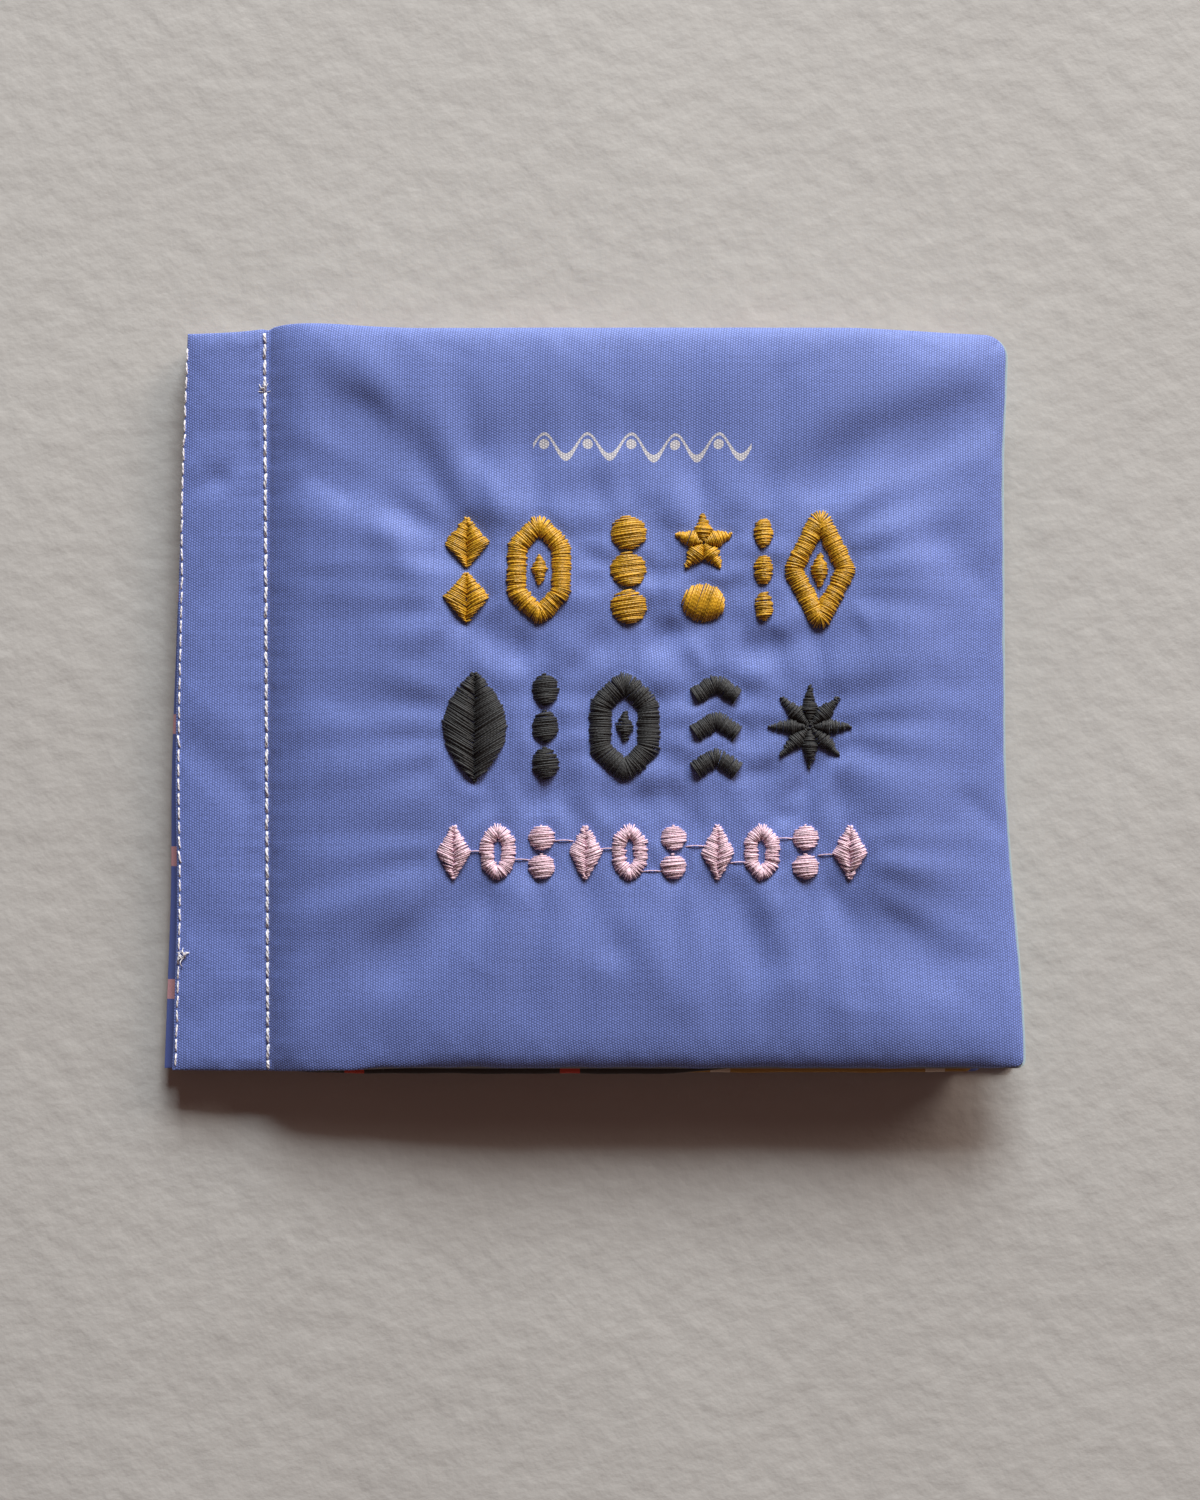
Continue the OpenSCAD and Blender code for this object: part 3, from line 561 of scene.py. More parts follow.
def shell(name, x, y, low, high, materials, flat=None):
    """Closed sheet between two faces over a grid of points. Its UV is the flat cloth in millimetres. With two
    materials the second is on the lower face."""
    nu, nv = x.shape
    n = nu * nv
    plan = np.stack([x.ravel(), y.ravel()], 1)
    points = np.concatenate([np.column_stack([plan, low.ravel()]), np.column_stack([plan, high.ravel()])])
    ids = np.arange(n).reshape(nu, nv)
    a, b, c, d = ids[:-1, :-1].ravel(), ids[1:, :-1].ravel(), ids[1:, 1:].ravel(), ids[:-1, 1:].ravel()
    loop = np.concatenate([ids[:-1, 0], ids[-1, :-1], ids[:0:-1, -1], ids[0, :0:-1]])
    after = np.roll(loop, -1)
    faces = [np.stack([a, b, c, d], 1) + n, np.stack([loop, after, after + n, loop + n], 1),
             np.stack([a, d, c, b], 1)]
    uv = plan if flat is None else flat
    slots = np.repeat([0, 0, len(materials) - 1], [len(f) for f in faces])
    piece = smooth_mesh(name, points, faces, np.concatenate([uv, uv]), slots)
    for material in materials:
        piece.data.materials.append(material)
    return piece


def unrolled(x, y, z, seam_row):
    """Flat cloth coordinates of a grid: lengths along the cloth, across from the seam and up from
    half-way."""
    def steps(p, axis):
        return np.diff(p, axis=axis, prepend=np.take(p, [0], axis)) ** 2
    across = np.cumsum(np.sqrt(steps(x, 0) + steps(z, 0)), 0)
    up = np.cumsum(np.sqrt(steps(y, 1) + steps(z, 1)), 1)
    middle = np.argmin(np.abs(y[0]))
    u = across - across[seam_row] + x[seam_row]
    v = up - up[:, middle:middle + 1] + y[:, middle:middle + 1]
    return np.stack([u.ravel(), v.ravel()], 1)


def tubes(name, paths, radii, material, sides=6):
    """Tubes along many paths at once: rings across each path, and a point at each end. The UV of a thread is
    its own tone, 0 to 1, and the length along it in millimetres."""
    n, k, _ = paths.shape
    radii = np.broadcast_to(radii, (n, k))
    along = np.gradient(paths, axis=1)
    along /= np.linalg.norm(along, axis=2, keepdims=True) + 1e-12
    side = np.cross(along, [0.0, 0.0, 1.0])
    length = np.linalg.norm(side, axis=2, keepdims=True)
    side = np.where(length < 1e-3, [1.0, 0.0, 0.0], side / np.maximum(length, 1e-3))
    over = np.cross(side, along)
    a = 2 * math.pi * np.arange(sides) / sides
    ring = np.cos(a)[:, None] * side[:, :, None] + np.sin(a)[:, None] * over[:, :, None]
    rings = (paths[:, :, None] + radii[:, :, None, None] * ring).reshape(n, k * sides, 3)
    points = np.concatenate([rings, paths[:, :1], paths[:, -1:]], 1).reshape(-1, 3)
    i, q = np.meshgrid(np.arange(k - 1), np.arange(sides), indexing="ij")
    r = (q + 1) % sides
    below, above = i * sides, (i + 1) * sides
    wall = np.stack([below + q, above + q, above + r, below + r], -1).reshape(-1, 4)
    q, r = q[0], r[0]
    first = np.stack([q, r, np.full(sides, k * sides)], 1)
    last = np.stack([(k - 1) * sides + r, (k - 1) * sides + q, np.full(sides, k * sides + 1)], 1)
    shift = (np.arange(n) * (k * sides + 2))[:, None, None]
    caps = np.concatenate([first, last])
    tone = np.random.default_rng(n).uniform(0, 1, n).repeat(k * sides + 2)
    run = np.cumsum(np.linalg.norm(np.diff(paths, axis=1, prepend=paths[:, :1]), axis=2), 1)
    run = np.concatenate([run.repeat(sides, axis=1), run[:, :1], run[:, -1:]], 1).ravel()
    piece = smooth_mesh(name, points, [(wall + shift).reshape(-1, 4), (caps + shift).reshape(-1, 3)],
                        np.stack([tone, run], 1))
    piece.data.materials.append(material)
    return piece


# Materials

class Socket:
    """One output of a shader node. Arithmetic on it adds Math nodes."""

    def __init__(self, shader, link):
        self.shader, self.link = shader, link

    def do(self, operation, *values):
        return self.shader.math(operation, self, *values)

    def __add__(self, other):
        return self.do("ADD", other)

    def __sub__(self, other):
        return self.do("SUBTRACT", other)

    def __mul__(self, other):
        return self.do("MULTIPLY", other)

    def __truediv__(self, other):
        return self.do("DIVIDE", other)

    def __rsub__(self, other):
        return self.shader.math("SUBTRACT", other, self)

    def __pow__(self, other):
        return self.do("POWER", other)

    def __lt__(self, other):
        return self.do("LESS_THAN", other)

    def __gt__(self, other):
        return self.do("GREATER_THAN", other)

    __radd__ = __add__
    __rmul__ = __mul__


class Shader:
    """A material's nodes. Its Principled shader takes plain numbers, and links where a value varies."""

    def __init__(self, name, **constants):
        self.material = bpy.data.materials.new(name)
        self.material.use_nodes = True
        self.tree = self.material.node_tree
        self.surface = self.tree.nodes["Principled BSDF"]
        for socket, value in constants.items():
            self.set(socket.replace("_", " "), value)

    def node(self, kind, settings=None, inputs=None, output=0):
        """Adds a node of a type with its settings, then the values or links of its sockets."""
        node = self.tree.nodes.new(kind)
        for name, value in (settings or {}).items():
            setattr(node, name, value)
        for name, value in (inputs or {}).items():
            self.feed(node.inputs[name], value)
        return Socket(self, node.outputs[output])

    def feed(self, socket, value):
        if isinstance(value, Socket):
            self.tree.links.new(value.link, socket)
        else:
            socket.default_value = value

    def set(self, name, value):
        self.feed(self.surface.inputs[name], value)

    def math(self, operation, *values):
        return self.node("ShaderNodeMath", {"operation": operation}, dict(enumerate(values)))

    def mix(self, share, a, b):
        """Colour a where share is 0 and colour b where it is 1."""
        a, b = (c if isinstance(c, Socket) else (*c, 1.0) for c in (a, b))
        return self.node("ShaderNodeMix", {"data_type": "RGBA"}, {0: share, 6: a, 7: b}, 2)

    def shade(self, colour, factor):
        """Colour times a varying number."""
        grey = self.node("ShaderNodeCombineColor", None, {0: factor, 1: factor, 2: factor})
        colour = colour if isinstance(colour, Socket) else (*colour, 1.0)
        settings = {"data_type": "RGBA", "blend_type": "MULTIPLY"}
        return self.node("ShaderNodeMix", settings, {0: 1.0, 6: colour, 7: grey}, 2)

    def noise(self, place, size, detail=2.0, stretch=None):
        if stretch:
            place = self.node("ShaderNodeMapping", None, {"Vector": place, "Scale": stretch})
        return self.node("ShaderNodeTexNoise", None, {"Vector": place, "Scale": size, "Detail": detail})

    def bump(self, height, distance, strength=1.0):
        self.set("Normal", self.node("ShaderNodeBump", None,
                                     {"Strength": strength, "Distance": distance, "Height": height}))

    def flat_cloth(self):
        """The cloth's own flat coordinates in millimetres: the point, and its u and v."""
        point = self.node("ShaderNodeUVMap", {"uv_map": "cloth"})
        u = self.node("ShaderNodeSeparateXYZ", None, {0: point})
        return point, u, Socket(self, u.link.node.outputs[1])

    def place(self):
        return self.node("ShaderNodeTexCoord", None, None, 3)


def linear(r, g, b):
    """Linear colour from an sRGB colour of 0 to 255."""
    return tuple(v / 255 / 12.92 if v <= 10 else ((v / 255 + 0.055) / 1.055) ** 2.4 for v in (r, g, b))


WARP, WEFT = 0.475, 0.25


def plain_weave(shader, u, v, warp=WARP, weft=WEFT):
    """Height of a plain weave, about 0 to 1: the crowns of its warp threads stand in rows that are half a
    step apart, so it is a wave across the threads and a wave along them that changes sign at each thread."""
    ribs = (u * (2 * math.pi / warp)).do("COSINE")
    crowns = (u * (math.pi / warp)).do("COSINE") * (v * (math.pi / weft)).do("COSINE")
    return 0.45 + 0.22 * ribs + 0.33 * crowns


def woven_cloth(name, colour, contrast, depth, pattern=None, warp=WARP, weft=WEFT, sheen=0.25):
    """Plain-weave cotton: its colour has painted shade in the weave's gaps and a painted highlight on its thread
    crowns, which also make its bump. Threads differ a little, and the dye is slightly uneven.
    pattern(shader, u, v, colour) may print fields of colour on it."""
    shader = Shader(name, Sheen_Weight=sheen, Sheen_Roughness=0.4, Specular_IOR_Level=0.5)
    point, u, v = shader.flat_cloth()
    height = plain_weave(shader, u, v, warp, weft)
    ends = shader.noise(point, 1.0, 1.0, (2.1, 0.05, 1.0))
    picks = shader.noise(point, 1.0, 1.0, (0.05, 4.0, 1.0))
    dye = shader.noise(point, 0.05, 3.0)
    slubs = ends + picks - 1
    flecks = shader.noise(point, 1.6, 2.0) - 0.5
    # Painted shade and highlight: darker in the weave's gaps and lighter on its crowns, by the weave's height.
    tone = (1 - 0.45 * contrast) + contrast * height
    tone = tone + contrast * (0.2 * slubs + 0.5 * flecks) + 0.1 * (dye - 0.5)
    printed = pattern(shader, u, v, colour) if pattern else colour
    shader.set("Base Color", shader.shade(printed, tone))
    shader.set("Roughness", 0.68 - 0.12 * height)
    shader.bump(height + 0.25 * slubs, depth * MM, 0.8)
    return shader.material


def thread_material(name, colour, gloss=0.42, fuzz=0.25, uneven=0.4):
    """Sewing thread: each has its own tone, and its fine broken fibres catch the light."""
    shader = Shader(name, Sheen_Weight=fuzz, Sheen_Roughness=0.35, Specular_IOR_Level=0.5)
    place = shader.place()
    _, tone, along = shader.flat_cloth()
    fibre = shader.noise(place, 5200.0, 2.0)
    patch = shader.noise(place, 1300.0, 2.0)
    ply = ((along + 0.6 * tone) * (2 * math.pi / 0.7)).do("SINE")
    # The ply wave paints a little shade into the twist's grooves and light onto its ridges, in step with its
    # bump.
    shade = 1.0 + uneven * (tone - 0.5) + 0.5 * (fibre - 0.5) + 0.9 * (patch - 0.5) + 0.06 * ply
    shader.set("Base Color", shader.shade(colour, shade))
    shader.set("Roughness", gloss + 0.25 * patch)
    shader.bump(fibre + 0.4 * ply, 0.05 * MM, 0.7)
    return shader.material


def film_material(name):
    """Crinkle film: smooth milky plastic with a fine crackle."""
    shader = Shader(name, Specular_IOR_Level=0.5)
    place = shader.place()
    crackle = shader.node("ShaderNodeTexVoronoi", {"feature": "DISTANCE_TO_EDGE"},
                          {"Vector": place, "Scale": 160.0})
    shader.set("Base Color", shader.shade((0.78, 0.78, 0.8), 0.9 + 0.2 * shader.noise(place, 60.0)))
    shader.set("Roughness", 0.25 + 0.2 * crackle)
    shader.bump(crackle, 0.3 * MM, 0.6)
    return shader.material


BLUE = linear(108, 126, 194)
MINT = linear(178, 198, 204)
CHARCOAL = linear(50, 47, 46)
MUSTARD = linear(182, 140, 68)
PINK = linear(214, 160, 168)
CREAM = linear(228, 214, 194)
RED = linear(205, 66, 48)
PAGE_BLUE = linear(92, 108, 178)
PRINT_GREY = linear(205, 202, 205)


def small_print(shader, u, v, colour):
    """A small pale ornament over the rows: a waved line, thick in its valleys, with a dot over each crest."""
    left, right, middle, step = -9.5, 31.0, 47.0, 8.1
    phase = (u - left) * (2 * math.pi / step)
    line = (v - middle - 2.2 * phase.do("SINE")).do("ABSOLUTE") < 0.5 - 0.22 * phase.do("SINE")
    inside = (u > left) * (u < right)
    to_dot = (((u - left) / step + 0.25).do("FRACT") - 0.5) * step
    dot = (to_dot * to_dot + (v - middle - 0.3) ** 2.0).do("SQRT") < 0.95
    return shader.mix((inside * line.do("MAXIMUM", dot)) * 0.9, colour, PRINT_GREY)


BAR_LONG, END_BAR_DEEP, SIDE_BAR_DEEP, PAGE_BORDER = 3.7, 2.6, 2.8, 7.0


def printed_page(tick, gap, shift, shapes):
    """Page print: short bars round the border, `gap` apart, and ellipses of plain colour inside it. `shift`
    moves the bars of the sides, and moves those of the top and bottom three times as far."""
    def pattern(shader, u, v, colour):
        end = BOOK_H / 2 - v.do("ABSOLUTE")
        for cx, cy, rx, ry, paint in shapes:
            reach = ((u - cx) / rx) ** 2.0 + ((v - cy) / ry) ** 2.0
            colour = shader.mix((reach < 1.0) * (end > PAGE_BORDER), colour, paint)
        spine = u - (SPINE_X + SPINE_LEAN / 2) - v * (SPINE_LEAN / BOOK_H)
        sides = spine.do("MINIMUM", FORE_X - PAGE_INSET - u)
        across = (end < END_BAR_DEEP) * (((u + 3 * shift) / gap).do("FRACT") * gap < BAR_LONG)
        up = (sides < SIDE_BAR_DEEP) * (((v + shift) / gap).do("FRACT") * gap < BAR_LONG)
        return shader.mix(across.do("MAXIMUM", up), colour, tick)
    return pattern


def page_cloth(name, ground, tick, gap, shift, shapes=()):
    return woven_cloth(name, ground, 0.12, 0.02, printed_page(tick, gap, shift, shapes), 0.3, 0.3, 0.15)


SUN = (38, 34, 15, 15, MUSTARD)
HILLS = [(-20, -74, 62, 40, PAGE_BLUE), (42, -80, 58, 34, linear(120, 150, 140))]
POND = [(14, -20, 40, 22, linear(120, 150, 190)), (14, -20, 26, 13, linear(160, 186, 210))]
DOTS = [(-30 + 22 * i, 18 + 9 * (i % 2), 4.5, 4.5, CREAM) for i in range(3)]

cover_cloth = woven_cloth("cover_cloth", BLUE, 1.15, 0.07, small_print)
plain_cover_cloth = woven_cloth("plain_cover_cloth", BLUE, 1.15, 0.07)
lining_cloth = woven_cloth("lining_cloth", MINT, 0.14, 0.02, None, 0.3, 0.3, 0.15)
page_cloths = [
    (page_cloth("cream_page", CREAM, PINK, 40.0, 12.0), page_cloth("pond_page", MINT, RED, 40.0, 4.0, POND)),
    (page_cloth("blue_page", PAGE_BLUE, PINK, 24.9, 6.2), page_cloth("rose_page", PINK, CREAM, 40.0, 8.0)),
    (page_cloth("mustard_page", MUSTARD, CREAM, 40.0, 19.3), page_cloth("mint_page", MINT, PINK, 40.0, 20.0)),
    (page_cloth("night_page", CHARCOAL, RED, 40.0, 15.27, [SUN, *HILLS, *DOTS]),
     page_cloth("charcoal_page", CHARCOAL, RED, 40.0, 30.0)),
]
white_thread = thread_material("white_thread", linear(236, 232, 236), 0.6, 0.5, 0.1)
gold_thread = thread_material("gold_thread", linear(206, 156, 34), 0.28, 0.05, 0.5)
charcoal_thread = thread_material("charcoal_thread", linear(42, 42, 43), 0.5, 0.35, 0.7)
pink_thread = thread_material("pink_thread", linear(236, 202, 216), 0.4, 0.3, 0.3)
crinkle_film = film_material("crinkle_film")


# The covers' cloths. Each is one piece from the spine edge to the fore-edge.


def cover_piece(piece, nodes):
    """Bakes the cloth's placement into its mesh and hides the model's parts that it stands for."""
    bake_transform(piece)
    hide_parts(*nodes)


def foot_line(x):
    """How far the front cover's bottom edge is drawn in."""
    return FOOT_DRAW * ease((x - FLAP_X) / SWELL_W)


def hem_ripple(x, y):
    """Small waves that the turned hem leaves along a cover's edges."""
    return waves(x + y, (5.3, 8.1, 13.7), 3) + 0.6 * waves(x - y, (3.9, 6.1), 5)


def front_low(x, y):
    return (PAGE_LEAVES + 1) * pitch(x) + lift(x, y) + 0.06


def front_mid(x, y):
    return front_low(x, y) + 0.22 * loft(x)


def front_cover_cloth():
    """Woven cloth over the stuffed cover: its edges roll down to the sewn mid height, over a faint hem."""
    x, y, height, edge, seam_row = leaf_grid(0.85, foot_line, lambda x: -head_line(x), MARGIN_DRAW,
                                             seam_step=0.3, stuffed=True)
    drape = 0.28 * waves(x, (31.0, 17.0, 9.0), 11) * np.exp(-(y + BOOK_H / 2) / 5) * ease((x - FLAP_X) / 10)
    nicks = 0.14 * waves(y, (27.0, 13.0, 7.0), 12) * np.exp(-np.abs(FORE_X - x) / 4)
    hem = 0.05 * bump(edge - 2.2, 1.0) + 0.1 * hem_ripple(x, y) * np.exp(-edge / 4)
    mid = front_mid(x, y) + 0.1 * waves(x - y, (19.0, 11.0), 8) * np.exp(-edge / 3)
    outer = mid + RIM_T + (cover_top(x, y) + hem - mid - RIM_T) * height
    inner = np.maximum(mid + 0.02, outer - CLOTH_T)
    flat = unrolled(x, y, outer, seam_row)
    piece = shell("front_cover_cloth", x + nicks, y + drape, inner, outer, [cover_cloth], flat)
    cover_piece(piece, ["front_cover", "front_margin"])


def front_lining_cloth():
    """Plain lining under the cover cloth, a little wider, so that its edge shows beside the cloth's."""
    x, y, height, edge, _ = leaf_grid(1.5, lambda x: foot_line(x) + 0.3 - 0.5 * ease((x - FLAP_X) / 12),
                                      lambda x: 0.3 - head_line(x), MARGIN_DRAW, fore_in=-0.4)
    mid = front_mid(x, y)
    soft = creases(x, y, 26, 21, (20, 60), (4, 8), (0.05, 0.14), ((FLAP_X, FORE_X), (-60, 60)))
    sag = ease(edge / 12) * ease((x - FLAP_X - 4) / 14) * np.clip(soft, -0.05, 0.6)
    outer = mid - RIM_T - (mid - RIM_T - front_low(x, y) - sag) * height
    inner = np.minimum(mid - 0.02, outer + CLOTH_T)
    piece = shell("front_lining_cloth", x, y, outer, inner, [lining_cloth])
    cover_piece(piece, ["front_lining", "front_lining_margin"])


def back_cloths():
    """The back cover's two cloths. The outer one is pressed flat where the book lies on it."""
    x, y, height, edge, _ = leaf_grid(1.3, lambda x: 0 * x, lambda x: -head_line(x))
    high = pitch(x) - LEAF_GAP
    mid = high / 2
    upper = mid + RIM_T + (high - mid - RIM_T) * height
    lining = shell("back_lining_cloth", x, y, np.maximum(mid + 0.02, upper - CLOTH_T), upper, [lining_cloth])
    cover_piece(lining, ["back_lining", "back_lining_margin"])
    ripple = np.clip(hem_ripple(x, y), 0, 1)
    groove = 0.33 * bump(x - seam_line(y + BOOK_H / 2), 0.9)
    lower = mid - RIM_T - (mid - RIM_T + 0.1) * height
    lower = np.maximum(0, lower) + groove + 0.1 * ripple * np.exp(-edge / 4)
    upper = np.minimum(mid - 0.02, lower + CLOTH_T)
    lower = np.minimum(lower, upper - 0.1)
    cloth = shell("back_cover_cloth", x, y, lower, upper, [plain_cover_cloth])
    cover_piece(cloth, ["back_cover", "back_margin"])


def leaf(number):
    """One leaf, a pocket of two cloths with film in it, built as one closed sheet with a cloth on each face, low
    at its edges and at the seam.
    """
    inset = PAGE_INSET * (1 + 0.28 * math.sin(math.radians(140 * number)))
    draw, spine_in = (MARGIN_DRAW - 0.2, 0.25) if number > 2 else (0.0, -0.45 * (number - 1))
    slant = 1.3 if number == PAGE_LEAVES else 0.0

    def foot(x):
        return 0.05 * inset - 0.45 * ease((x - FLAP_X) / 10) + slant * ease((x - 14) / 16)

    x, y, height, edge, _ = leaf_grid(2.4, foot, lambda x: 0.3 * inset + 0 * x, draw, spine_in, inset, 0.0)
    gap = 0.05 + (LEAF_GAP - 0.05) * ease((np.abs(x - SEAM_X) - 2) / 12)
    mid = (number + 0.5) * pitch(x) - gap / 2
    half = RIM_T + ((pitch(x) - gap) / 2 - RIM_T) * height
    wavy = 0.1 * waves(x + 3 * number, (23.0, 11.0), number) * np.exp(-edge / 4)
    piece = shell(f"leaf_{number}", x, y + wavy, mid - half, mid + half, page_cloths[number - 1])
    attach(piece, "book_block")
    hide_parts("pages")


def crinkle_films():
    """A sheet of film between the cloths of each cover, at the height where their edges are sewn."""
    for side, mid in (("front", front_mid), ("back", lambda x, y: (pitch(x) - LEAF_GAP) / 2)):
        low, high = (np.array(c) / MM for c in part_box(f"{side}_film"))
        x, y = np.meshgrid(np.linspace(low[0], high[0], 60), np.linspace(low[1], high[1], 66), indexing="ij")
        z = mid(x, y)
        film = shell(f"{side}_crinkle_film", x, y, z - FILM_T / 2, z + FILM_T / 2, [crinkle_film])
        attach(film, f"{side}_flap")
        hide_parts(f"{side}_film")


front_cover_cloth()
front_lining_cloth()
back_cloths()
for number in range(1, PAGE_LEAVES + 1):
    leaf(number)
crinkle_films()


# Stitches

def sewn(piece, body, node):
    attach(piece, body)
    if node:
        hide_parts(node)


def two_ply(name, starts, ends, surface, ply_r, rise, dive, up=1.0):
    """A row of stitches, each a strand of two twisted plies: it rises from one needle hole, lies on the cloth
    and dips into the next. surface(x, y) is the cloth's height, and up is -1 under the book."""
    s = np.linspace(0, 1, 13)
    rng = np.random.default_rng(len(starts))
    centre = starts[:, None] + s[:, None] * (ends - starts)[:, None]
    x = centre[:, :, 0] + rng.normal(0, 0.07, (len(starts), 1)) * (2 * s - 1)
    y = centre[:, :, 1]
    arch = np.clip(np.sin(math.pi * s), 0, 1) ** 0.4
    z = surface(x, y) + up * (rise * arch - dive * (1 - arch))
    twist = 2 * math.pi * 1.1 * s + rng.uniform(0, 6, (len(starts), 1))
    plies = [np.stack([x + 0.6 * ply_r * np.cos(a), y, z + 0.6 * ply_r * np.sin(a)], -1)
             for a in (twist, twist + math.pi)]
    return tubes(name, np.concatenate(plies), ply_r, white_thread, 6)


def margin_face(x, y):
    """The margin's outer face with its rolled edges."""
    low = front_mid(x, y) + RIM_T
    end = BOOK_H / 2 + np.where(y > 0, head_line(x), -foot_line(x)) - np.abs(y)
    from_spine = x - spine_edge(y + BOOK_H / 2, MARGIN_DRAW)
    return low + (cover_top(x, y) - low) * pillow(end, x) * roll(from_spine, 6.0)


def binding_stitches():
    """One line of stitches through the whole book, seen from above and below."""
    count = math.ceil(BOOK_H / 2 / STITCH_PITCH)
    holes = np.clip(STITCH_PITCH * np.arange(-count, count + 1), 0.3 - BOOK_H / 2, BOOK_H / 2)
    gap = 0.1
    starts = np.stack([seam_line(holes + BOOK_H / 2), holes + gap], 1)[:-1]
    ends = np.stack([seam_line(holes + BOOK_H / 2), holes - gap], 1)[1:]
    top = two_ply("binding_stitches_top", starts, ends, margin_face, 0.2, 0.3, 0.3)
    sewn(top, "book_block", "binding_seam")
    below = two_ply("binding_stitches_below", starts, ends, lambda x, y: 0.38 + 0 * x, 0.13, 0.12, 0.3, -1.0)
    sewn(below, "book_block", "binding_seam")


def edge_stitches():
    """Stitches that close the spine edge. Near the top they run round on the side of the edge."""
    holes = np.arange(-BOOK_H / 2 + 0.6, BOOK_H / 2 - 0.5, EDGE_STITCH_PITCH)
    t = holes + BOOK_H / 2
    gap = 0.16
    x = spine_edge(t, MARGIN_DRAW) + 0.12 + 0.5 * (1 - ease((holes - 20) / 20))
    starts, ends = np.stack([x, holes + gap], 1)[:-1], np.stack([x, holes - gap], 1)[1:]
    top = two_ply("edge_stitches_top", starts, ends, margin_face, 0.12, 0.16, 0.25)
    sewn(top, "book_block", None)
    x = spine_edge(t) + 1.1
    starts, ends = np.stack([x, holes + gap], 1)[:-1], np.stack([x, holes - gap], 1)[1:]
    below = two_ply("edge_stitches_below", starts, ends, lambda x, y: 0.42 + 0 * x, 0.1, 0.12, 0.2, -1.0)
    sewn(below, "book_block", None)


def tuft(name, x, y, lift_off, heading, seed):
    """Frayed end of a thread: fine fibres that leave one point and curl, most of them one way."""
    rng = np.random.default_rng(seed)
    fibres, steps = 14, 8
    s = np.linspace(0, 1, steps)
    z = margin_face(np.array([x]), np.array([y])) + lift_off
    turn = heading + rng.normal(0, 0.8, fibres)
    bend, long = rng.uniform(-2.5, 2.5, fibres), rng.uniform(1.0, 2.3, fibres)
    heading = turn[:, None] + bend[:, None] * s
    paths = np.stack([x + np.cumsum(np.cos(heading), 1) * long[:, None] / steps,
                      y + np.cumsum(np.sin(heading), 1) * long[:, None] / steps,
                      z + rng.uniform(0.1, 0.7, fibres)[:, None] * np.sin(math.pi * s)], -1)
    sewn(tubes(name, paths, 0.08, white_thread, 5), "book_block", None)


binding_stitches()
edge_stitches()
tuft("binding_tuft", -61.2, 58.0, 0.1, 1.9, 2)
tuft("edge_tuft", -75.9, -48.2, 0.0, 2.2, 5)


# Satin-stitch motifs

def pad_ends(centre, outline, turn):
    """Ends of parallel stitches that fill an outline: even scan lines, cut where they cross its edges."""
    c, s = math.cos(math.radians(turn)), math.sin(math.radians(turn))
    spin = np.array([[c, -s], [s, c]])
    p = outline @ spin
    q = np.roll(p, -1, axis=0)
    lines = np.arange(p[:, 1].min() + 0.3 * SATIN_PITCH, p[:, 1].max(), SATIN_PITCH)
    slope = np.where(q[:, 1] == p[:, 1], 1e-9, q[:, 1] - p[:, 1])
    t = (lines[:, None] - p[:, 1]) / slope
    cut = np.sort(np.where((t >= 0) & (t < 1), p[:, 0] + t * (q[:, 0] - p[:, 0]), np.inf), axis=1)
    found = []
    for k in range(0, cut.shape[1] - 1, 2):
        ok = np.isfinite(cut[:, k + 1])
        found.append(np.stack([np.stack([cut[ok, i], lines[ok]], 1) for i in (k, k + 1)], 1))
    found = np.concatenate(found)
    return found[found[:, 1, 0] - found[:, 0, 0] > 0.25] @ spin.T + centre


def line_ends(centre, path, stroke, closed):
    """Ends of the stitches across a line: stations along it, each at right angles to its smoothed run."""
    path = np.concatenate([path, path[:1]]) if closed else path
    run = np.concatenate([[0], np.cumsum(np.hypot(*np.diff(path, axis=0).T))])
    s = np.linspace(0, run[-1], round(run[-1] / (0.85 * SATIN_PITCH)), endpoint=not closed)

    def at(s):
        s = s % run[-1] if closed else np.clip(s, 0, run[-1])
        return np.stack([np.interp(s, run, path[:, i]) for i in (0, 1)], 1)

    reach = 0.55 * stroke
    ahead = at(s + reach) - at(s - reach)
    across = np.stack([-ahead[:, 1], ahead[:, 0]], 1) / np.linalg.norm(ahead, axis=1, keepdims=True)
    middle = (at(s - reach / 3) + at(s) + at(s + reach / 3)) / 3
    return centre + np.stack([middle - across * stroke / 2, middle + across * stroke / 2], 1)


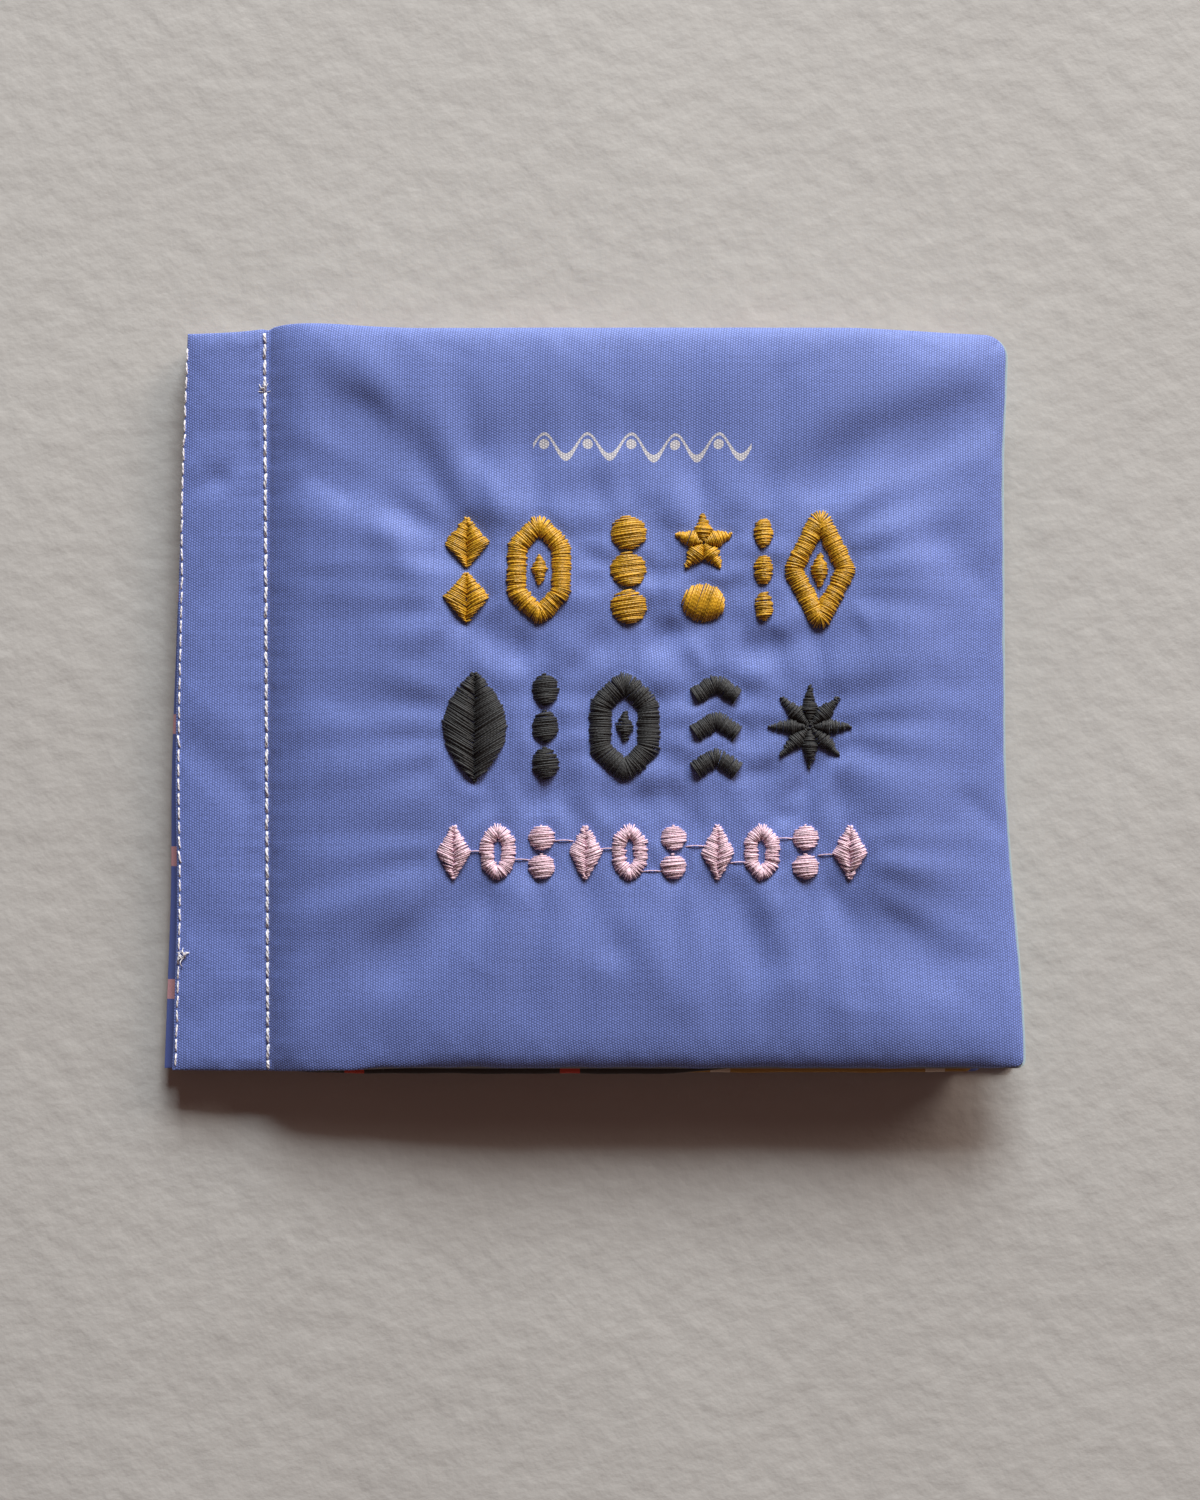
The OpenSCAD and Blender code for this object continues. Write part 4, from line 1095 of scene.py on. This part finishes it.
def satin(colour, material):
    """Raised satin stitches: each thread arches from one side of its motif to the other and dives in."""
    rng = np.random.default_rng(len(colour))
    ends = []
    for kind, centre, outline, value in MOTIFS[colour]:
        if kind == "pad":
            ends.append(pad_ends(centre, outline, value))
        else:
            ends.append(line_ends(centre, outline, value, kind == "line"))
    ends = np.concatenate(ends)
    long = np.linalg.norm(ends[:, 1] - ends[:, 0], axis=1)
    unit = (ends[:, 1] - ends[:, 0]) / long[:, None]
    spread = rng.uniform(-0.12, 0.24, (len(ends), 2))
    ends = ends + np.stack([-unit * spread[:, :1], unit * spread[:, 1:]], 1) + rng.normal(0, 0.07, ends.shape)
    w = np.array([-1, -0.96, -0.84, -0.6, -0.25, 0.25, 0.6, 0.84, 0.96, 1])
    x, y = np.moveaxis(ends[:, :1] + (w[:, None] + 1) / 2 * (ends[:, 1] - ends[:, 0])[:, None], 2, 0)
    rise = SATIN_RISE * np.clip(0.45 + long / 4, 0.6, 1.1)[:, None]
    arch = (1 - w ** 2) ** 0.5
    sink = np.where(np.abs(w) == 1, -0.3, -0.1)
    z = cover_top(x, y) + sink + rise * arch + rng.normal(0, 0.04, (len(ends), 1))
    radius = SATIN_R * rng.uniform(0.8, 1.2, (len(ends), 1)) * (0.7 + 0.3 * arch)
    piece = tubes(f"{colour}_satin", np.stack([x, y, z], -1), radius, material, 5)
    sewn(piece, "front_flap", f"{colour}_embroidery")


for colour, material in (("gold", gold_thread), ("charcoal", charcoal_thread), ("pink", pink_thread)):
    satin(colour, material)


def jump_threads():
    """Single threads left between the small motifs, low on the cloth."""
    spots = sorted({round(float(m[1][0]), 3) for m in MOTIFS["pink"]})
    s = np.linspace(0, 1, 8)
    x0, x1 = np.array(spots[:-1])[:, None] + 2.2, np.array(spots[1:])[:, None] - 2.2
    level = PINK_Y + np.array([0, -1.5, 2.0, 0.5, -3.6, 1.0, -2.0, 2.4, -0.6])[:, None]
    x, y = x0 + s * (x1 - x0), level + 0.2 * np.sin(3 * s)
    z = cover_top(x, y) + 0.25 * np.sin(math.pi * s)
    threads = tubes("pink_jump_threads", np.stack([x, y, z], -1), 0.11, pink_thread, 5)
    sewn(threads, "front_flap", None)


jump_threads()


# Light and floor

def softbox(name, place, target, size, power, colour):
    """Area lamp at a place, turned to a target."""
    lamp = bpy.data.lights.new(name, "AREA")
    lamp.shape = "RECTANGLE"
    lamp.size, lamp.size_y = size
    lamp.energy = power
    lamp.color = colour
    holder = bpy.data.objects.new(name, lamp)
    bpy.context.scene.collection.objects.link(holder)
    holder.location = place
    x, y, z = np.array(target) - np.array(place)
    holder.rotation_euler = (math.atan2(math.hypot(x, y), -z), 0.0, math.atan2(-x, y))


def lamp_place(turn, rise, far):
    """Place of a lamp: turned from the top edge towards the right, and raised, in degrees."""
    turn, rise = math.radians(turn), math.radians(rise)
    level = far * math.cos(rise)
    return (level * math.sin(turn), level * math.cos(turn), far * math.sin(rise))


softbox("window_softbox", lamp_place(9, 27, 2.4), (0, 0, 0), (1.2, 0.91), 85.0, (0.93, 0.985, 1.0))
softbox("side_softbox", lamp_place(46, 22, 3.0), (0, 0, 0), (1.3, 1.1), 47.0, (1.0, 0.86, 0.75))

# A dim warm fill comes from all round. The camera itself sees a pale backdrop where the floor ends.
world = bpy.data.worlds.new("studio")
bpy.context.scene.world = world
world.use_nodes = True
tree = world.node_tree
fill = tree.nodes["Background"]
backdrop, shown, rays = (tree.nodes.new("ShaderNode" + kind) for kind in ("Background", "MixShader", "LightPath"))
for light, colour, strength in ((fill, (1.0, 0.58, 0.48, 1.0), 0.1), (backdrop, (0.62, 0.6, 0.58, 1.0), 1.0)):
    light.inputs[0].default_value, light.inputs[1].default_value = colour, strength
for output, socket in ((rays.outputs["Is Camera Ray"], shown.inputs[0]), (fill.outputs[0], shown.inputs[1]),
                       (backdrop.outputs[0], shown.inputs[2]),
                       (shown.outputs[0], tree.nodes["World Output"].inputs[0])):
    tree.links.new(output, socket)
bpy.context.scene.view_settings.view_transform = "Standard"

HALF = 1.5
floor_mesh = bpy.data.meshes.new("floor")
corners = [(-HALF, -HALF, 0), (HALF, -HALF, 0), (HALF, HALF, 0), (-HALF, HALF, 0)]
floor_mesh.from_pydata(corners, [], [(0, 1, 2, 3)])
floor = bpy.data.objects.new("floor", floor_mesh)
bpy.context.scene.collection.objects.link(floor)
floor_paint = Shader("floor_paint", Roughness=0.85, Specular_IOR_Level=0.2)
spot = floor_paint.place()
trowel = floor_paint.noise(spot, 14.0, 5.0)
floor_paint.set("Base Color", floor_paint.mix(trowel, linear(186, 183, 180), linear(197, 195, 192)))
floor_paint.bump(trowel + 0.3 * floor_paint.noise(spot, 190.0, 6.0), 2.0 * MM, 0.62)
floor_mesh.materials.append(floor_paint.material)
